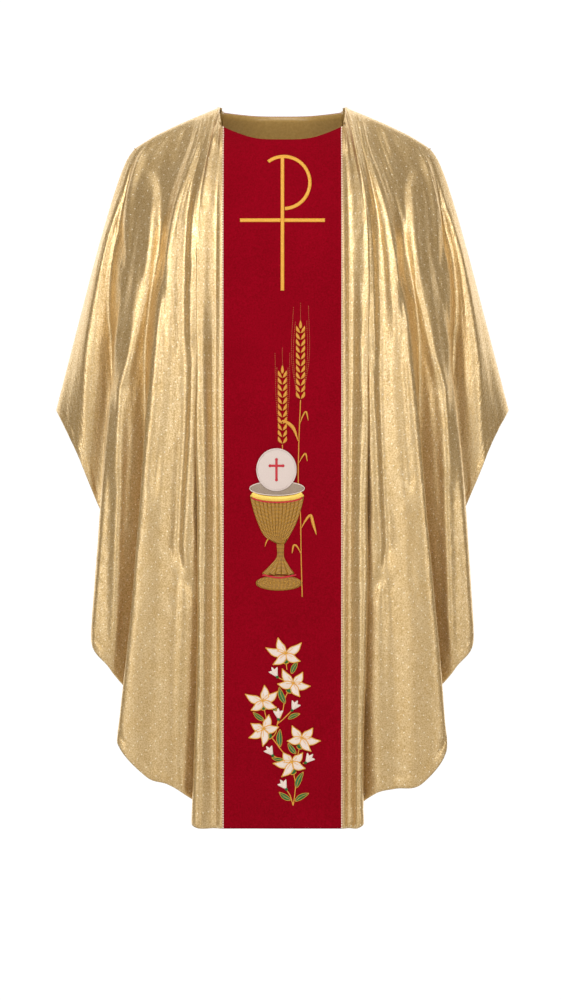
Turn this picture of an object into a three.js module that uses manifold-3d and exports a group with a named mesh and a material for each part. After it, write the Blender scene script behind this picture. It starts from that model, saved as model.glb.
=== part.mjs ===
// A gothic chasuble: four panels of gold lame, a crimson orphrey down the front and another down the
// back, a satin lining, the hidden stiffening that makes them hang well, and the embroidery.
// It is draped as it hangs from a pair of shoulders with the arms down.
//
// Frame, in millimetres: +Z up, +X to the wearer's left, the front faces -Y. The origin is on the
// neck's axis, at the height where the garment lies on the shoulders beside the neck.
//
// The drape is one net of control points. Each LINE of the net is a warp line of the cloth that
// falls from the neckline or the shoulder seam to the hem, along a crest or a valley of the folds.
// The cloth between the control points is a Catmull-Rom surface, and every layer is that surface
// offset along its own normals, so that the layers nest without touching.
import * as THREE from "three";
import { mergeVertices } from "three/addons/utils/BufferGeometryUtils.js";
import Module from "manifold-3d";

const wasm = await Module();
wasm.setup();

// ---- Driving dimensions -------------------------------------------------------------------

const NECK_HALF_WIDTH = 112; // neck opening, at its sides
const NECK_FRONT_DEPTH = 95; // from the neck's axis forwards to the neckline
const NECK_BACK_DEPTH = 75;
const NECK_SIDE_Z = 21; // the neckline's height on top of the shoulder
const NECK_FRONT_Z = -38; // and in the middle of the front
const NECK_BACK_Z = 6;
const NECK_TURN = 4.5; // how late the neckline turns up beside the neck

const SHOULDER_X = 264; // where the shoulder seam turns down over the shoulder
const SHOULDER_SLOPE = 0.41;
const SHOULDER_ROUND = 12; // extra drop at the shoulder's end

const ORPHREY_HALF_WIDTH = 105;
const HEM_Z = -1257; // the hem below the orphrey
const FOLDS_Z = -1257; // the hem for which the folds are set; a longer hem only lengthens their ends
const HANG_DEPTH = 136; // the plane that the front hangs in: its depth at the origin's height
const HANG_LEAN = 0.0158; // and how much further out it lies for each unit of drop
const BACK_FLATNESS = 0.84; // the back's depth as a share of the front's

const CLOTH = 1.2; // thickness of the lame and of the orphrey
const INNER_CLOTH = 0.8; // thickness of the stiffening, facings and lining
const LAYER_GAP = 0.6; // clearance between two layers of cloth
const SEAM_GAP = 0.5; // clearance between two pieces that are sewn edge to edge
const RIDGE_GAP = 1.6; // the same along the shoulder seams, where the cloth bends sharply

const STEPS_ACROSS = 2; // facets between two lines of the net
const STEPS_DOWN = 1; // facets between two stations of a line
const STEPS_AT_TOP = 4; // facets between the top and the first station

const FACING_END = 0.75; // the neck facing's depth, in stations of the net
const FACING_INSET = 3; // facets between the end of the facing and the shoulder seam
const FACING_GAP = 3; // between the facing and the stiffening below it
const LINING_RISE = 15; // how far the lining's edge is above the hem
const TAPE_WIDTH = 10; // the stay tape in the shoulder seam
const CORD_RADIUS = 1.3; // the piping along the orphrey's seams
const CORD_SIDES = 6;

// ---- The net ------------------------------------------------------------------------------

// The height of a line's stations, as shares of its fall from its top to where the folds are set.
// The last station is the hem.
const STATIONS = [0, 0.05, 0.17, 0.38, 0.68, 1];

// The depth at which the front hangs clear of the chest at the height z.
const hangDepth = (z) => HANG_DEPTH - HANG_LEAN * z;

// Lines of the orphrey, from its middle to its seam: x, and the depth at the first two stations.
// Below those the orphrey hangs flat.
const ORPHREY_LINES = [
  { x: 0, chest: [120, 139.5] },
  { x: 0.5 * ORPHREY_HALF_WIDTH, chest: [113, 138.5] },
  { x: ORPHREY_HALF_WIDTH, chest: [90, 134] },
];

// Lines of a side panel, from the orphrey's seam to the edge of the sleeve: a name; where the line
// starts, as 0 to 1 along the neckline from the middle of the front to the shoulder seam, and 1 to 2
// along that seam; how far out of its top's x it is at the stations between top and hem; the depth
// at the stations below the top; and at the hem, how far out it is and how far above the orphrey's
// hem. The last pair is the same for the wearer's left where the folds end differently there.
// A crest that lies further out than the valley after it overhangs that valley.
const SIDE_LINES = [
  ["seam hollow", 0.86, [4.5, 9, 13, 10], [84, 127, 138, 142, 148], [13, 0], [8, 0]],
  ["inner crest", 0.93, [7.7, 26, 28, 27], [81, 130, 151, 156, 159], [38, 1], [22, 1]],
  ["inner crest's side", 0.965, [13.2, 35, 39, 38], [78, 131, 151, 147, 148], [48, 11], [31, 11]],
  ["inner valley", 1, [16, 40, 37, 16], [77, 129, 146, 120, 116], [26, 29], [17, 29]],
  ["inner return", 1.05, [14, 40, 43, 48], [74, 127, 148, 140, 134], [58, 61], [46, 60]],
  ["shallow dip", 1.1, [13, 43, 51, 63], [70, 119, 139, 138, 136], [78, 77], [74, 69]],
  ["broad crest", 1.15, [10, 47, 75, 91], [68, 123, 147, 149, 144], [108, 92], [112, 78]],
  ["middle crest", 1.21, [9, 50, 86, 115], [62, 121, 141, 143, 136], [147, 151], [149, 142]],
  ["middle valley", 1.31, [11, 47, 82, 80], [50, 98, 108, 99, 92], [103, 212]],
  ["middle return", 1.47, [13, 45, 81, 107], [42, 92, 113, 114, 106], [123, 279]],
  ["outer crest", 1.72, [24, 49, 71, 95], [27, 62, 90, 98, 94], [117, 334]],
  ["outer valley", 1.83, [23, 45, 68, 58], [19, 39, 50, 49, 47], [61, 462]],
  ["sleeve crest", 1.92, [18, 39, 73, 99], [12, 26, 44, 56, 58], [108, 645]],
  ["sleeve edge", 2, [16, 37, 66, 103], [0, 0, 0, 0, 0], [142, 736]],
].map(([name, top, out, depth, hem, leftHem = hem]) => ({ name, top, out, depth, hem, leftHem }));

// A point of the top edge: along the neckline for s from 0 to 1, along the shoulder seam from 1 to 2.
function topPoint(s, face) {
  if (s > 1) {
    const along = s - 1;
    const x = NECK_HALF_WIDTH + along * (SHOULDER_X - NECK_HALF_WIDTH);
    const drop = SHOULDER_SLOPE * (x - NECK_HALF_WIDTH) + SHOULDER_ROUND * along ** 4;
    return [x, 0, NECK_SIDE_Z - drop];
  }
  const turn = (s * Math.PI) / 2;
  const across = 1 - Math.cos(turn);
  const rise = (across + across ** NECK_TURN) / 2;
  const [depth, low] = face === "front" ? [NECK_FRONT_DEPTH, NECK_FRONT_Z] : [NECK_BACK_DEPTH, NECK_BACK_Z];
  return [NECK_HALF_WIDTH * Math.sin(turn), depth * Math.cos(turn), low + (NECK_SIDE_Z - low) * rise];
}

// One line as control points [x, y, z], for one face, as it lies on +X.
function controlLine(line, face, side) {
  const onOrphrey = "chest" in line;
  const s = onOrphrey ? (Math.asin(line.x / NECK_HALF_WIDTH) * 2) / Math.PI : line.top;
  const [topX, topDepth, topZ] = topPoint(s, face);
  const [hemOut, rise] = onOrphrey ? [0, 0] : side === "left" ? line.leftHem : line.hem;
  const [sign, flatness] = face === "front" ? [-1, 1] : [1, BACK_FLATNESS];
  const points = [[topX, sign * topDepth, topZ]];
  for (let j = 1; j < STATIONS.length; j++) {
    const z = STATIONS[j] < 1 ? topZ + (FOLDS_Z + rise - topZ) * STATIONS[j] : HEM_Z + rise;
    const depth = onOrphrey ? (line.chest[j - 1] ?? hangDepth(z)) : line.depth[j - 1];
    const x = onOrphrey ? line.x : topX + (line.out[j - 1] ?? hemOut);
    points.push([x, sign * flatness * depth, z]);
  }
  return points;
}

const LINES = [...ORPHREY_LINES, ...SIDE_LINES];
const SEAM_LINE = ORPHREY_LINES.length - 1; // the orphrey's seam
const NECK_LINE = LINES.findIndex((line) => line.top === 1); // where the shoulder seam starts
const EDGE_LINE = LINES.length - 1; // the edge of the sleeve
const netOf = (side, face) => LINES.map((line) => controlLine(line, face, side));
const net = {
  left: { front: netOf("left", "front"), back: netOf("left", "back") },
  right: { front: netOf("right", "front"), back: netOf("right", "back") },
};

const otherFace = { front: "back", back: "front" };

// A control point of the net, as it lies on +X. Lines past the sleeve's edge are on the other
// face, so that the surface runs on smoothly. Above a shoulder seam it does too.
function controlOn(side, face, i, j) {
  if (i > EDGE_LINE) return controlOn(side, otherFace[face], 2 * EDGE_LINE - i, j);
  if (j >= 0) return net[side][face][i][Math.min(j, STATIONS.length - 1)];
  if (i >= NECK_LINE) return net[side][otherFace[face]][i][-j];
  const [a, b] = [net[side][face][i][0], net[side][face][i][-j]];
  return a.map((value, k) => 2 * value - b[k]);
}

// The same on the whole garment: the wearer's right is on -X, and its lines are numbered below 0.
function control(face, i, j) {
  if (i >= 0) return controlOn("left", face, i, j);
  const [x, y, z] = controlOn("right", face, -i, j);
  return [-x, y, z];
}

function catmullRom(a, b, c, d, t) {
  return b.map((_, k) => {
    const [p, q, r, s] = [a[k], b[k], c[k], d[k]];
    const squared = 2 * p - 5 * q + 4 * r - s;
    const cubed = 3 * q - p - 3 * r + s;
    return 0.5 * (2 * q + (r - p) * t + squared * t ** 2 + cubed * t ** 3);
  });
}

// The surface at u lines across and v stations down.
function surface(face, u, v) {
  const [i, j] = [Math.floor(u), Math.max(-1, Math.min(Math.floor(v), STATIONS.length - 2))];
  const down = (line) => catmullRom(...[-1, 0, 1, 2].map((k) => control(face, line, j + k)), v - j);
  return u === i ? down(i) : catmullRom(...[-1, 0, 1, 2].map((k) => down(i + k)), u - i);
}

// ---- The faceted cloth --------------------------------------------------------------------

// Values from a to b with the given number of steps in each whole unit.
function steps(a, b, perUnit) {
  const knots = [a];
  for (let k = Math.floor(a) + 1; k < b; k++) knots.push(k);
  knots.push(b);
  const values = [a];
  for (let k = 0; k + 1 < knots.length; k++) {
    const n = Math.max(1, Math.round(perUnit(knots[k]) * (knots[k + 1] - knots[k])));
    for (let m = 1; m <= n; m++) values.push(knots[k] + ((knots[k + 1] - knots[k]) * m) / n);
  }
  return values;
}

const acrossSteps = (a, b) => steps(a, b, () => STEPS_ACROSS);
const downSteps = (a, b) => steps(a, b, (v) => (v < 1 ? STEPS_AT_TOP : STEPS_DOWN));

const HEM_V = STATIONS.length - 1;
const ACROSS = acrossSteps(-EDGE_LINE, EDGE_LINE);
const DOWN = downSteps(0, HEM_V);

// The two triangles of a quad of the net, as steps [across, down] from its first corner. The
// diagonal runs down towards +X, or down towards -X where it falls inwards.
const trianglesOf = (inwards) =>
  inwards
    ? [[[0, 0], [0, 1], [1, 0]], [[0, 1], [1, 1], [1, 0]]]
    : [[[0, 0], [0, 1], [1, 1]], [[0, 0], [1, 1], [1, 0]]];
const fallsInwards = (u) => u >= 0;

// An offset point moves at most one divided by this, however sharply the cloth bends there.
const LEAST_SPREAD = 0.5;

// The facets of one face: the points by columns, and at each point the vector that moves it one
// millimetre outwards. That is the mean of its facets' normals, longer where the cloth bends, so
// that an offset facet stays parallel. On a shoulder seam it lies in the seam's own plane.
function facets(face) {
  const points = ACROSS.map((u) => DOWN.map((v) => new THREE.Vector3(...surface(face, u, v))));
  const normals = points.map((column) => column.map(() => []));
  for (let i = 0; i + 1 < ACROSS.length; i++)
    for (let j = 0; j + 1 < DOWN.length; j++)
      for (const corners of trianglesOf(fallsInwards(ACROSS[i]))) {
        const [p, q, r] = corners.map(([a, b]) => points[i + a][j + b]);
        const out = q.clone().sub(p).cross(r.clone().sub(p)).normalize();
        if (face === "back") out.negate();
        for (const [a, b] of corners) normals[i + a][j + b].push(out);
      }
  const outwards = points.map((column, i) =>
    column.map((_, j) => {
      const around = normals[i][j];
      const mean = around.reduce((sum, n) => sum.add(n), new THREE.Vector3());
      const onSeam = Math.abs(ACROSS[i]) === EDGE_LINE || (j === 0 && Math.abs(ACROSS[i]) >= NECK_LINE);
      if (onSeam) mean.y = 0;
      mean.normalize();
      const spread = around.reduce((sum, n) => sum + n.dot(mean), 0) / around.length;
      return mean.divideScalar(Math.max(spread, LEAST_SPREAD));
    })
  );
  return { points, outwards };
}

const CLOTHS = { front: facets("front"), back: facets("back") };

// The point of the facets at u lines across and v stations down, moved outwards by an offset.
function shifted(face, u, v, offset) {
  const [i, j] = [ACROSS.indexOf(u), DOWN.indexOf(v)];
  const { points, outwards } = CLOTHS[face];
  return points[i][j].clone().addScaledVector(outwards[i][j], offset);
}

// ---- Solids -------------------------------------------------------------------------------

const chasuble = new THREE.Group();

function place(name, geometry, look) {
  const mesh = new THREE.Mesh(geometry, look);
  mesh.name = name;
  chasuble.add(mesh);
}

// The plain mesh of a geometry, with its shared vertices merged.
function meshOf(geometry) {
  const bare = geometry.clone();
  bare.deleteAttribute("normal");
  bare.deleteAttribute("uv");
  const merged = mergeVertices(bare, 1e-4);
  return new wasm.Mesh({
    numProp: 3,
    vertProperties: merged.attributes.position.array,
    triVerts: new Uint32Array(merged.index.array),
  });
}

// A closed body from points and triangles, turned round where its faces point inwards.
function closedBody(points, index) {
  const geometry = new THREE.BufferGeometry().setFromPoints(points).setIndex(index);
  if (new wasm.Manifold(meshOf(geometry)).volume() > 0) return geometry;
  for (let k = 0; k < index.length; k += 3) [index[k], index[k + 1]] = [index[k + 1], index[k]];
  return geometry.setIndex(index);
}

// A closed solid between two grids of points, outer[i][j] and inner[i][j]. Both have the same
// diagonals, so that the thickness is even.
function shell(outer, inner, inwards = () => false) {
  const [columns, rows] = [outer.length, outer[0].length];
  const points = [...outer.flat(), ...inner.flat()];
  const skinSize = columns * rows;
  const index = [];
  const quad = (a, b, c, d) => index.push(a, b, c, a, c, d);
  const at = (i, j) => i * rows + j;
  for (let i = 0; i + 1 < columns; i++)
    for (let j = 0; j + 1 < rows; j++) {
      for (const corners of trianglesOf(inwards(i))) {
        const triangle = corners.map(([a, b]) => at(i + a, j + b));
        index.push(...triangle, ...triangle.map((k) => k + skinSize).reverse());
      }
    }
  const rim = [];
  for (let j = 0; j + 1 < rows; j++) rim.push(at(0, j));
  for (let i = 0; i + 1 < columns; i++) rim.push(at(i, rows - 1));
  for (let j = rows - 1; j > 0; j--) rim.push(at(columns - 1, j));
  for (let i = columns - 1; i > 0; i--) rim.push(at(i, 0));
  rim.forEach((a, k) => {
    const b = rim[(k + 1) % rim.length];
    quad(b, a, a + skinSize, b + skinSize);
  });
  return closedBody(points, index);
}

// A closed tube through rings of points.
function tube(rings) {
  const sides = rings[0].length;
  const index = [];
  for (let r = 0; r + 1 < rings.length; r++)
    for (let k = 0; k < sides; k++) {
      const [a, b] = [r * sides + k, r * sides + ((k + 1) % sides)];
      index.push(a, b, b + sides, a, b + sides, a + sides);
    }
  const last = (rings.length - 1) * sides;
  for (let k = 1; k + 1 < sides; k++) index.push(0, k + 1, k, last, last + k, last + k + 1);
  return closedBody(rings.flat(), index);
}

// The points of one face of the cloth, by columns, at an offset outwards.
const skin = (face, us, vs, offset) => us.map((u) => vs.map((v) => shifted(face, u, v, offset)));

// Shortens a run of points at its start by a distance, along its first step.
function shorten(run, distance) {
  const step = run[1].clone().sub(run[0]);
  run[0].addScaledVector(step.normalize(), distance);
}

// Takes the given widths off the sides of a grid, and keeps it a distance clear of the plane of
// the shoulder seams.
function trim(grid, { top = 0, bottom = 0, left = 0, right = 0, clear = 0 }) {
  if (top) grid.forEach((column) => shorten(column, top));
  if (bottom) grid.forEach((column) => shorten(column.slice(-2).reverse(), bottom));
  for (const point of clear ? grid.flat() : [])
    if (point.y / clear < 1) point.y = clear;
  grid[0].forEach((_, j) => {
    const row = grid.map((column) => column[j]);
    if (left) shorten(row, left);
    if (right) shorten(row.slice(-2).reverse(), right);
  });
  return grid;
}

// A layer of cloth whose outer side lies at a depth under the face. Every layer of one face has
// its points on the same lines and stations, so the facets of two layers are parallel.
function layer(face, us, vs, depth, thickness, sides = {}) {
  const [outer, inner] = [depth, depth + thickness].map((d) => trim(skin(face, us, vs, -d), sides));
  return shell(outer, inner, (i) => fallsInwards(us[i]));
}

// ---- Cloth looks --------------------------------------------------------------------------

const look = (color, roughness, metalness = 0) =>
  new THREE.MeshStandardMaterial({ color, roughness, metalness });
const LOOKS = {
  lame: look(0xd9bd7c, 0.4, 0.7),
  crimson: look(0x92061c, 0.85),
  satin: look(0xc9ad74, 0.5),
  stiffening: look(0xe6e1d6, 0.9),
  cord: look(0xe3c58c, 0.5, 0.4),
  goldThread: look(0xd79a35, 0.4, 0.3),
  oldGoldThread: look(0xa8781c, 0.5, 0.3),
  whiteThread: look(0xe9dcd9, 0.6),
  greyThread: look(0x9d8f86, 0.6),
  redThread: look(0xc4122e, 0.6),
  greenThread: look(0x16742c, 0.6),
};

// ---- Garment pieces -----------------------------------------------------------------------

const SECOND_LAYER = CLOTH + LAYER_GAP; // depth of the stiffening, facings and tape
const LINING_LAYER = SECOND_LAYER + INNER_CLOTH + LAYER_GAP;
const SIDES = { left: 1, right: -1 }; // the wearer's left is +X
const seam = SEAM_GAP / 2;

// The lines across from one line of the net to another, on one side of the garment.
const sideways = (sign, a, b) => (sign > 0 ? acrossSteps(a, b) : acrossSteps(-b, -a));

for (const face of ["front", "back"]) {
  const clear = (face === "front" ? -RIDGE_GAP : RIDGE_GAP) / 2;
  for (const [side, sign] of Object.entries(SIDES)) {
    const edges = { clear, [sign > 0 ? "left" : "right"]: seam };
    const panel = layer(face, sideways(sign, SEAM_LINE, EDGE_LINE), DOWN, 0, CLOTH, edges);
    place(`${face}_${side}_lame_panel`, panel, LOOKS.lame);
  }

  const strip = acrossSteps(-SEAM_LINE, SEAM_LINE);
  place(`${face}_orphrey`, layer(face, strip, DOWN, 0, CLOTH, { left: seam, right: seam }), LOOKS.crimson);

  const belowFacing = DOWN.filter((v) => v >= FACING_END);
  const stiffening = layer(face, strip, belowFacing, SECOND_LAYER, INNER_CLOTH, { top: FACING_GAP });
  place(`${face}_orphrey_stiffening`, stiffening, LOOKS.stiffening);

  const collar = acrossSteps(-NECK_LINE, NECK_LINE).slice(FACING_INSET, -FACING_INSET);
  const behindNeck = DOWN.filter((v) => v <= FACING_END);
  const facing = layer(face, collar, behindNeck, SECOND_LAYER, INNER_CLOTH);
  place(`${face}_neck_facing`, facing, LOOKS.satin);

  const lining = layer(face, ACROSS, DOWN, LINING_LAYER, INNER_CLOTH, { clear, bottom: LINING_RISE });
  place(`${face}_lining`, lining, LOOKS.satin);
}

// The stay tape under a shoulder seam: half of its width is on the front and half on the back.
function stayTape(sign) {
  const side = (offset) => {
    const grid = sideways(sign, NECK_LINE + 1, EDGE_LINE - 3).map((u) => [
      shifted("front", u, DOWN[1], offset),
      shifted("front", u, 0, offset),
      shifted("back", u, DOWN[1], offset),
    ]);
    for (const [front, middle, back] of grid)
      for (const edge of [front, back]) edge.sub(middle).setLength(TAPE_WIDTH / 2).add(middle);
    return grid;
  };
  return shell(side(-SECOND_LAYER), side(-SECOND_LAYER - INNER_CLOTH), () => sign > 0);
}

// The cord in the seam between the orphrey and a side panel: it stands on the seam's outer face.
function piping(face, sign) {
  const u = sign * SEAM_LINE;
  const rings = DOWN.map((v) => {
    const middle = shifted(face, u, v, CORD_RADIUS + LAYER_GAP);
    const out = shifted(face, u, v, 1).sub(shifted(face, u, v, 0)).normalize();
    return Array.from({ length: CORD_SIDES }, (_, k) => {
      const turn = (2 * Math.PI * k) / CORD_SIDES;
      const side = new THREE.Vector3(CORD_RADIUS * Math.cos(turn), 0, 0);
      return middle.clone().add(side).addScaledVector(out, CORD_RADIUS * Math.sin(turn));
    });
  });
  return tube(rings);
}

for (const [side, sign] of Object.entries(SIDES)) {
  place(`${side}_shoulder_stay_tape`, stayTape(sign), LOOKS.stiffening);
  for (const face of ["front", "back"]) place(`${face}_${side}_piping`, piping(face, sign), LOOKS.cord);
}

// ---- Embroidery ---------------------------------------------------------------------------

const STITCH_LIFT = 1.0; // under the first layer of stitching
const STITCH = 0.8; // thickness of one layer of stitching
const STITCH_GAP = 0.4; // between two layers
const STITCH_STEP = 7; // the longest step along a stitched line
const THREAD_LINE = 1.8; // width of a stem
const stitchBase = (level) => STITCH_LIFT + level * (STITCH + STITCH_GAP);

const strips = Object.fromEntries(
  ["front", "back"].map((face) => [face, skin(face, acrossSteps(-SEAM_LINE, SEAM_LINE), DOWN, 0)])
);

// The depth of the orphrey's outer facets at x and z. A plumb line at x crosses each quad's upper
// edge and then its diagonal.
function orphreyDepth(face, x, z) {
  const strip = strips[face];
  const place = ((x / ORPHREY_HALF_WIDTH + 1) / 2) * (strip.length - 1);
  const i = Math.min(Math.floor(place), strip.length - 2);
  const [a, b] = [strip[i], strip[i + 1]];
  const mix = (p, q) => p.clone().lerp(q, place - i);
  const diagonal = x < 0 ? (j) => mix(a[j], b[j + 1]) : (j) => mix(a[j + 1], b[j]);
  const profile = a.flatMap((p, j) => [mix(p, b[j]), ...(j + 1 < a.length ? [diagonal(j)] : [])]);
  const j = Math.max(1, profile.findIndex((p) => p.z <= z));
  const [above, below] = [profile[j - 1], profile[j]];
  return Math.abs(THREE.MathUtils.mapLinear(z, above.z, below.z, above.y, below.y));
}

// A flat shape in x and z, stitched on to the orphrey's face at a level.
function stitched(geometry, level, face = "front") {
  const laid = geometry.clone();
  const at = laid.attributes.position;
  const sign = face === "front" ? -1 : 1;
  for (let k = 0; k < at.count; k++) {
    const [x, z, height] = [sign * -at.getX(k), at.getY(k), at.getZ(k)];
    at.setXYZ(k, x, sign * (orphreyDepth(face, x, z) + stitchBase(level) + height), z);
  }
  return laid;
}

// A flat patch of stitching inside an outline of points [x, z].
function flat(points) {
  const outline = new THREE.Shape(points.map(([x, z]) => new THREE.Vector2(x, z)));
  return new THREE.ExtrudeGeometry(outline, { depth: STITCH, bevelEnabled: false });
}

// Several flat shapes joined into one.
function joined(geometries) {
  const solid = geometries.map((g) => new wasm.Manifold(meshOf(g))).reduce((a, b) => a.add(b));
  const { vertProperties, triVerts } = solid.getMesh();
  return new THREE.BufferGeometry()
    .setAttribute("position", new THREE.BufferAttribute(vertProperties, 3))
    .setIndex(new THREE.BufferAttribute(triVerts, 1));
}

// Both edges of a stitched line along a curve, with its width as a function of the share along it.
function ribbon(curve, width) {
  const n = Math.max(2, Math.ceil(curve.getLength() / STITCH_STEP));
  const edge = (side) =>
    Array.from({ length: n + 1 }, (_, k) => {
      const t = k / n;
      const [p, d] = [curve.getPointAt(t), curve.getTangentAt(t)];
      return [p.x - side * d.y * (width(t) / 2), p.y + side * d.x * (width(t) / 2)];
    });
  const [left, right] = [edge(1), edge(-1)];
  const points = [...left, ...right];
  const outer = points.map(([x, z]) => new THREE.Vector3(x, z, 0));
  const top = outer.map((p) => p.clone().setZ(STITCH));
  const grid = (list) => [list.slice(0, n + 1), list.slice(n + 1)];
  return shell(grid(top), grid(outer));
}

// Points of an ellipse, or of an arc of it between two angles in degrees, which has both its ends.
const ROUND_STEPS = 32;
function ellipse(x, z, halfWidth, halfHeight, from = 0, to = 360, count = ROUND_STEPS) {
  return Array.from({ length: count + (to - from === 360 ? 0 : 1) }, (_, k) => {
    const turn = THREE.MathUtils.degToRad(from + ((to - from) * k) / count);
    return [x + halfWidth * Math.cos(turn), z + halfHeight * Math.sin(turn)];
  });
}

const curve = (...points) => new THREE.CatmullRomCurve3(points.map(([x, z]) => new THREE.Vector3(x, z, 0)));
const even = (width) => () => width;

// A leaf's width at each share along it: it starts broad, and is fullest before its middle.
const LEAF_POINT = 0.9; // width of a leaf at its tip
const leafWidth = (width) => (t) =>
  LEAF_POINT + (width - LEAF_POINT) * Math.sin(Math.PI * Math.min(1, 0.15 + t * 0.85)) ** 0.8;

// The emblem: a cross whose upright carries a half-round bow.
const EMBLEM_TOP = -71;
const EMBLEM_FOOT = -305;
const ARM_Z = -181;
const ARM_REACH = 75;
const EMBLEM_LINE = 6;
const BOW_RADIUS = 46;
const BOW_START = 127; // degrees round the bow's centre, where the bow starts
const BOW_STEPS = 16;
const BOW_X = 2.5; // the bow's centre
const BOW_Z = EMBLEM_TOP - BOW_RADIUS + EMBLEM_LINE / 2 + SEAM_GAP;

const armStart = EMBLEM_LINE / 2 + SEAM_GAP;
const bowEnd = THREE.MathUtils.radToDeg(Math.acos((armStart - BOW_X) / BOW_RADIUS));
const bow = ellipse(BOW_X, BOW_Z, BOW_RADIUS, BOW_RADIUS, BOW_START, -bowEnd, BOW_STEPS);
for (const face of ["front", "back"]) {
  const pieces = {
    upright: ribbon(curve([0, EMBLEM_TOP], [0, EMBLEM_FOOT]), even(EMBLEM_LINE)),
    left_arm: ribbon(curve([armStart, ARM_Z], [ARM_REACH, ARM_Z]), even(EMBLEM_LINE)),
    right_arm: ribbon(curve([-ARM_REACH, ARM_Z], [-armStart, ARM_Z]), even(EMBLEM_LINE)),
    bow: ribbon(curve(...bow), even(EMBLEM_LINE)),
  };
  for (const [name, piece] of Object.entries(pieces))
    place(`${face}_emblem_${name}`, stitched(piece, 0, face), LOOKS.goldThread);
}

// Wheat: a tall stalk and a short one, each with an ear of grains in pairs.
const EAR_PAIRS = 11;
const GRAIN_PITCH = 11.6;
const GRAIN_REACH = 7.4;
const EAR_BUD = 13;

function ear(x, topZ) {
  const rightEdge = [];
  for (let k = 0; k < EAR_PAIRS; k++) {
    const z = topZ - EAR_BUD - k * GRAIN_PITCH;
    rightEdge.push([GRAIN_REACH, z + 1.5]);
    rightEdge.push([GRAIN_REACH * 0.9, z - GRAIN_PITCH * 0.4], [2, z - GRAIN_PITCH * 0.75]);
  }
  const foot = [0, topZ - EAR_BUD - EAR_PAIRS * GRAIN_PITCH];
  const bud = [[2.6, topZ - EAR_BUD * 0.55], [1.4, topZ - EAR_BUD * 0.95]];
  const side = [...bud, ...rightEdge];
  const otherSide = side.map(([a, z]) => [-a, z]).reverse();
  return flat([[0, topZ], ...side, foot, ...otherSide].map(([a, z]) => [a + x, z]));
}

const TALL = { x: 32, top: -357 };
const SHORT = { x: 0, top: -436 };
const earFoot = ({ top }) => top - EAR_BUD - EAR_PAIRS * GRAIN_PITCH;
place("wheat_tall_ear", stitched(ear(TALL.x, TALL.top), 1), LOOKS.goldThread);
place("wheat_short_ear", stitched(ear(SHORT.x, SHORT.top), 1), LOOKS.goldThread);
const TALL_STALK = [[TALL.x, earFoot(TALL)], [29, -575], [28, -642], [32, -705], [33, -770], [35, -846]];
const SHORT_STALK = [[SHORT.x, earFoot(SHORT)], [1, -640], [1, -745], [1, -780]];
const stem = (path) => ribbon(curve(...path), even(THREAD_LINE));
place("wheat_tall_stalk", stitched(stem(TALL_STALK), 0), LOOKS.goldThread);
place("wheat_short_stalk", stitched(stem(SHORT_STALK), 0), LOOKS.goldThread);
const WHEAT_LEAVES = [
  ["upper", 1, 2.6, [[30.5, -540], [37, -524], [42, -519], [45.5, -534]]],
  ["large_left", 2, 4.6, [[28, -571], [21, -551], [13, -541], [2, -535], [-3, -538]]],
  ["middle", 1, 2.6, [[29, -609], [36, -597], [41, -593], [44, -606]]],
  ["large_right", 1, 4.2, [[33, -725], [42, -709], [50, -702], [54, -715], [60, -736]]],
  ["lower", 1, 2.8, [[33, -770], [26, -757], [20, -755], [17, -769]]],
];
for (const [name, level, width, path] of WHEAT_LEAVES) {
  const leaf = ribbon(curve(...path), leafWidth(width));
  place(`wheat_leaf_${name}`, stitched(leaf, level), LOOKS.goldThread);
}

// The chalice and the host above it.
const CUP_X = -9.5;
const CUP_RIM_Z = -654;
const CUP_RIM = { x: 48.5, z: 12.5 }; // half width and half height of the mouth's ellipse
const HOST = { x: -10.5, z: -621, radius: 36 };

const RIM_NEAR_SIDE = [200, 340, 14]; // from and to in degrees, and the steps between

// A band that follows the front of the cup's rim: it is low in the middle, like the rim.
function band(top, bottom, halfTop, halfBottom) {
  const line = (z, half) => ellipse(CUP_X, z, half, CUP_RIM.z, ...RIM_NEAR_SIDE);
  return flat([...line(top, halfTop), ...line(bottom, halfBottom).reverse()]);
}

const BAND_TOP = CUP_RIM_Z - 1.5;
const BAND_HEIGHT = 9;
const BAND_LINE = 2.4;
const bandFoot = BAND_TOP - BAND_HEIGHT;
const BOWL_FOOT_Z = -752;
const STEM_HALF = 7;
const STEM_X = 6.5; // the stem is stitched a little to one side of the bowl's middle
const bowlSide = (stemEdge) => [
  [47, bandFoot - 8],
  [42.5, -690],
  [34, -715],
  [22, -738],
  [stemEdge, BOWL_FOOT_Z],
];
const mirroredX = (points) => points.map(([x, z]) => [-x, z]).reverse();
const onCup = (points) => flat(points.map(([x, z]) => [x + CUP_X, z]));
const FOOT_TOP_Z = -806;
const footSide = (stemEdge, spread) => [
  [stemEdge, BOWL_FOOT_Z - 1],
  [stemEdge, -775],
  [(stemEdge + spread) / 2, -792],
  [spread, FOOT_TOP_Z],
];
const footZ = FOOT_TOP_Z - 15.5;
const bowlTop = ellipse(0, bandFoot - 4, 46, CUP_RIM.z, ...RIM_NEAR_SIDE);
const bowl = [...bowlTop, ...bowlSide(STEM_X + STEM_HALF), ...mirroredX(bowlSide(STEM_HALF - STEM_X))];
const cupStem = [...footSide(STEM_X + STEM_HALF - 1, 30), ...mirroredX(footSide(STEM_HALF - STEM_X, 26))];
const bandLineTop = bandFoot - SEAM_GAP;
const bandLine = band(bandLineTop, bandLineTop - BAND_LINE, 47.5, 47);
const footLine = curve(...[[-26, -1], [4, -6], [34, -1]].map(([x, z]) => [CUP_X + x, FOOT_TOP_Z + z]));
const mouth = flat(ellipse(CUP_X, CUP_RIM_Z, CUP_RIM.x, CUP_RIM.z));
const hostDisc = flat(ellipse(HOST.x, HOST.z, HOST.radius, HOST.radius));
place("chalice_mouth", stitched(mouth, 1), LOOKS.greyThread);
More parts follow.
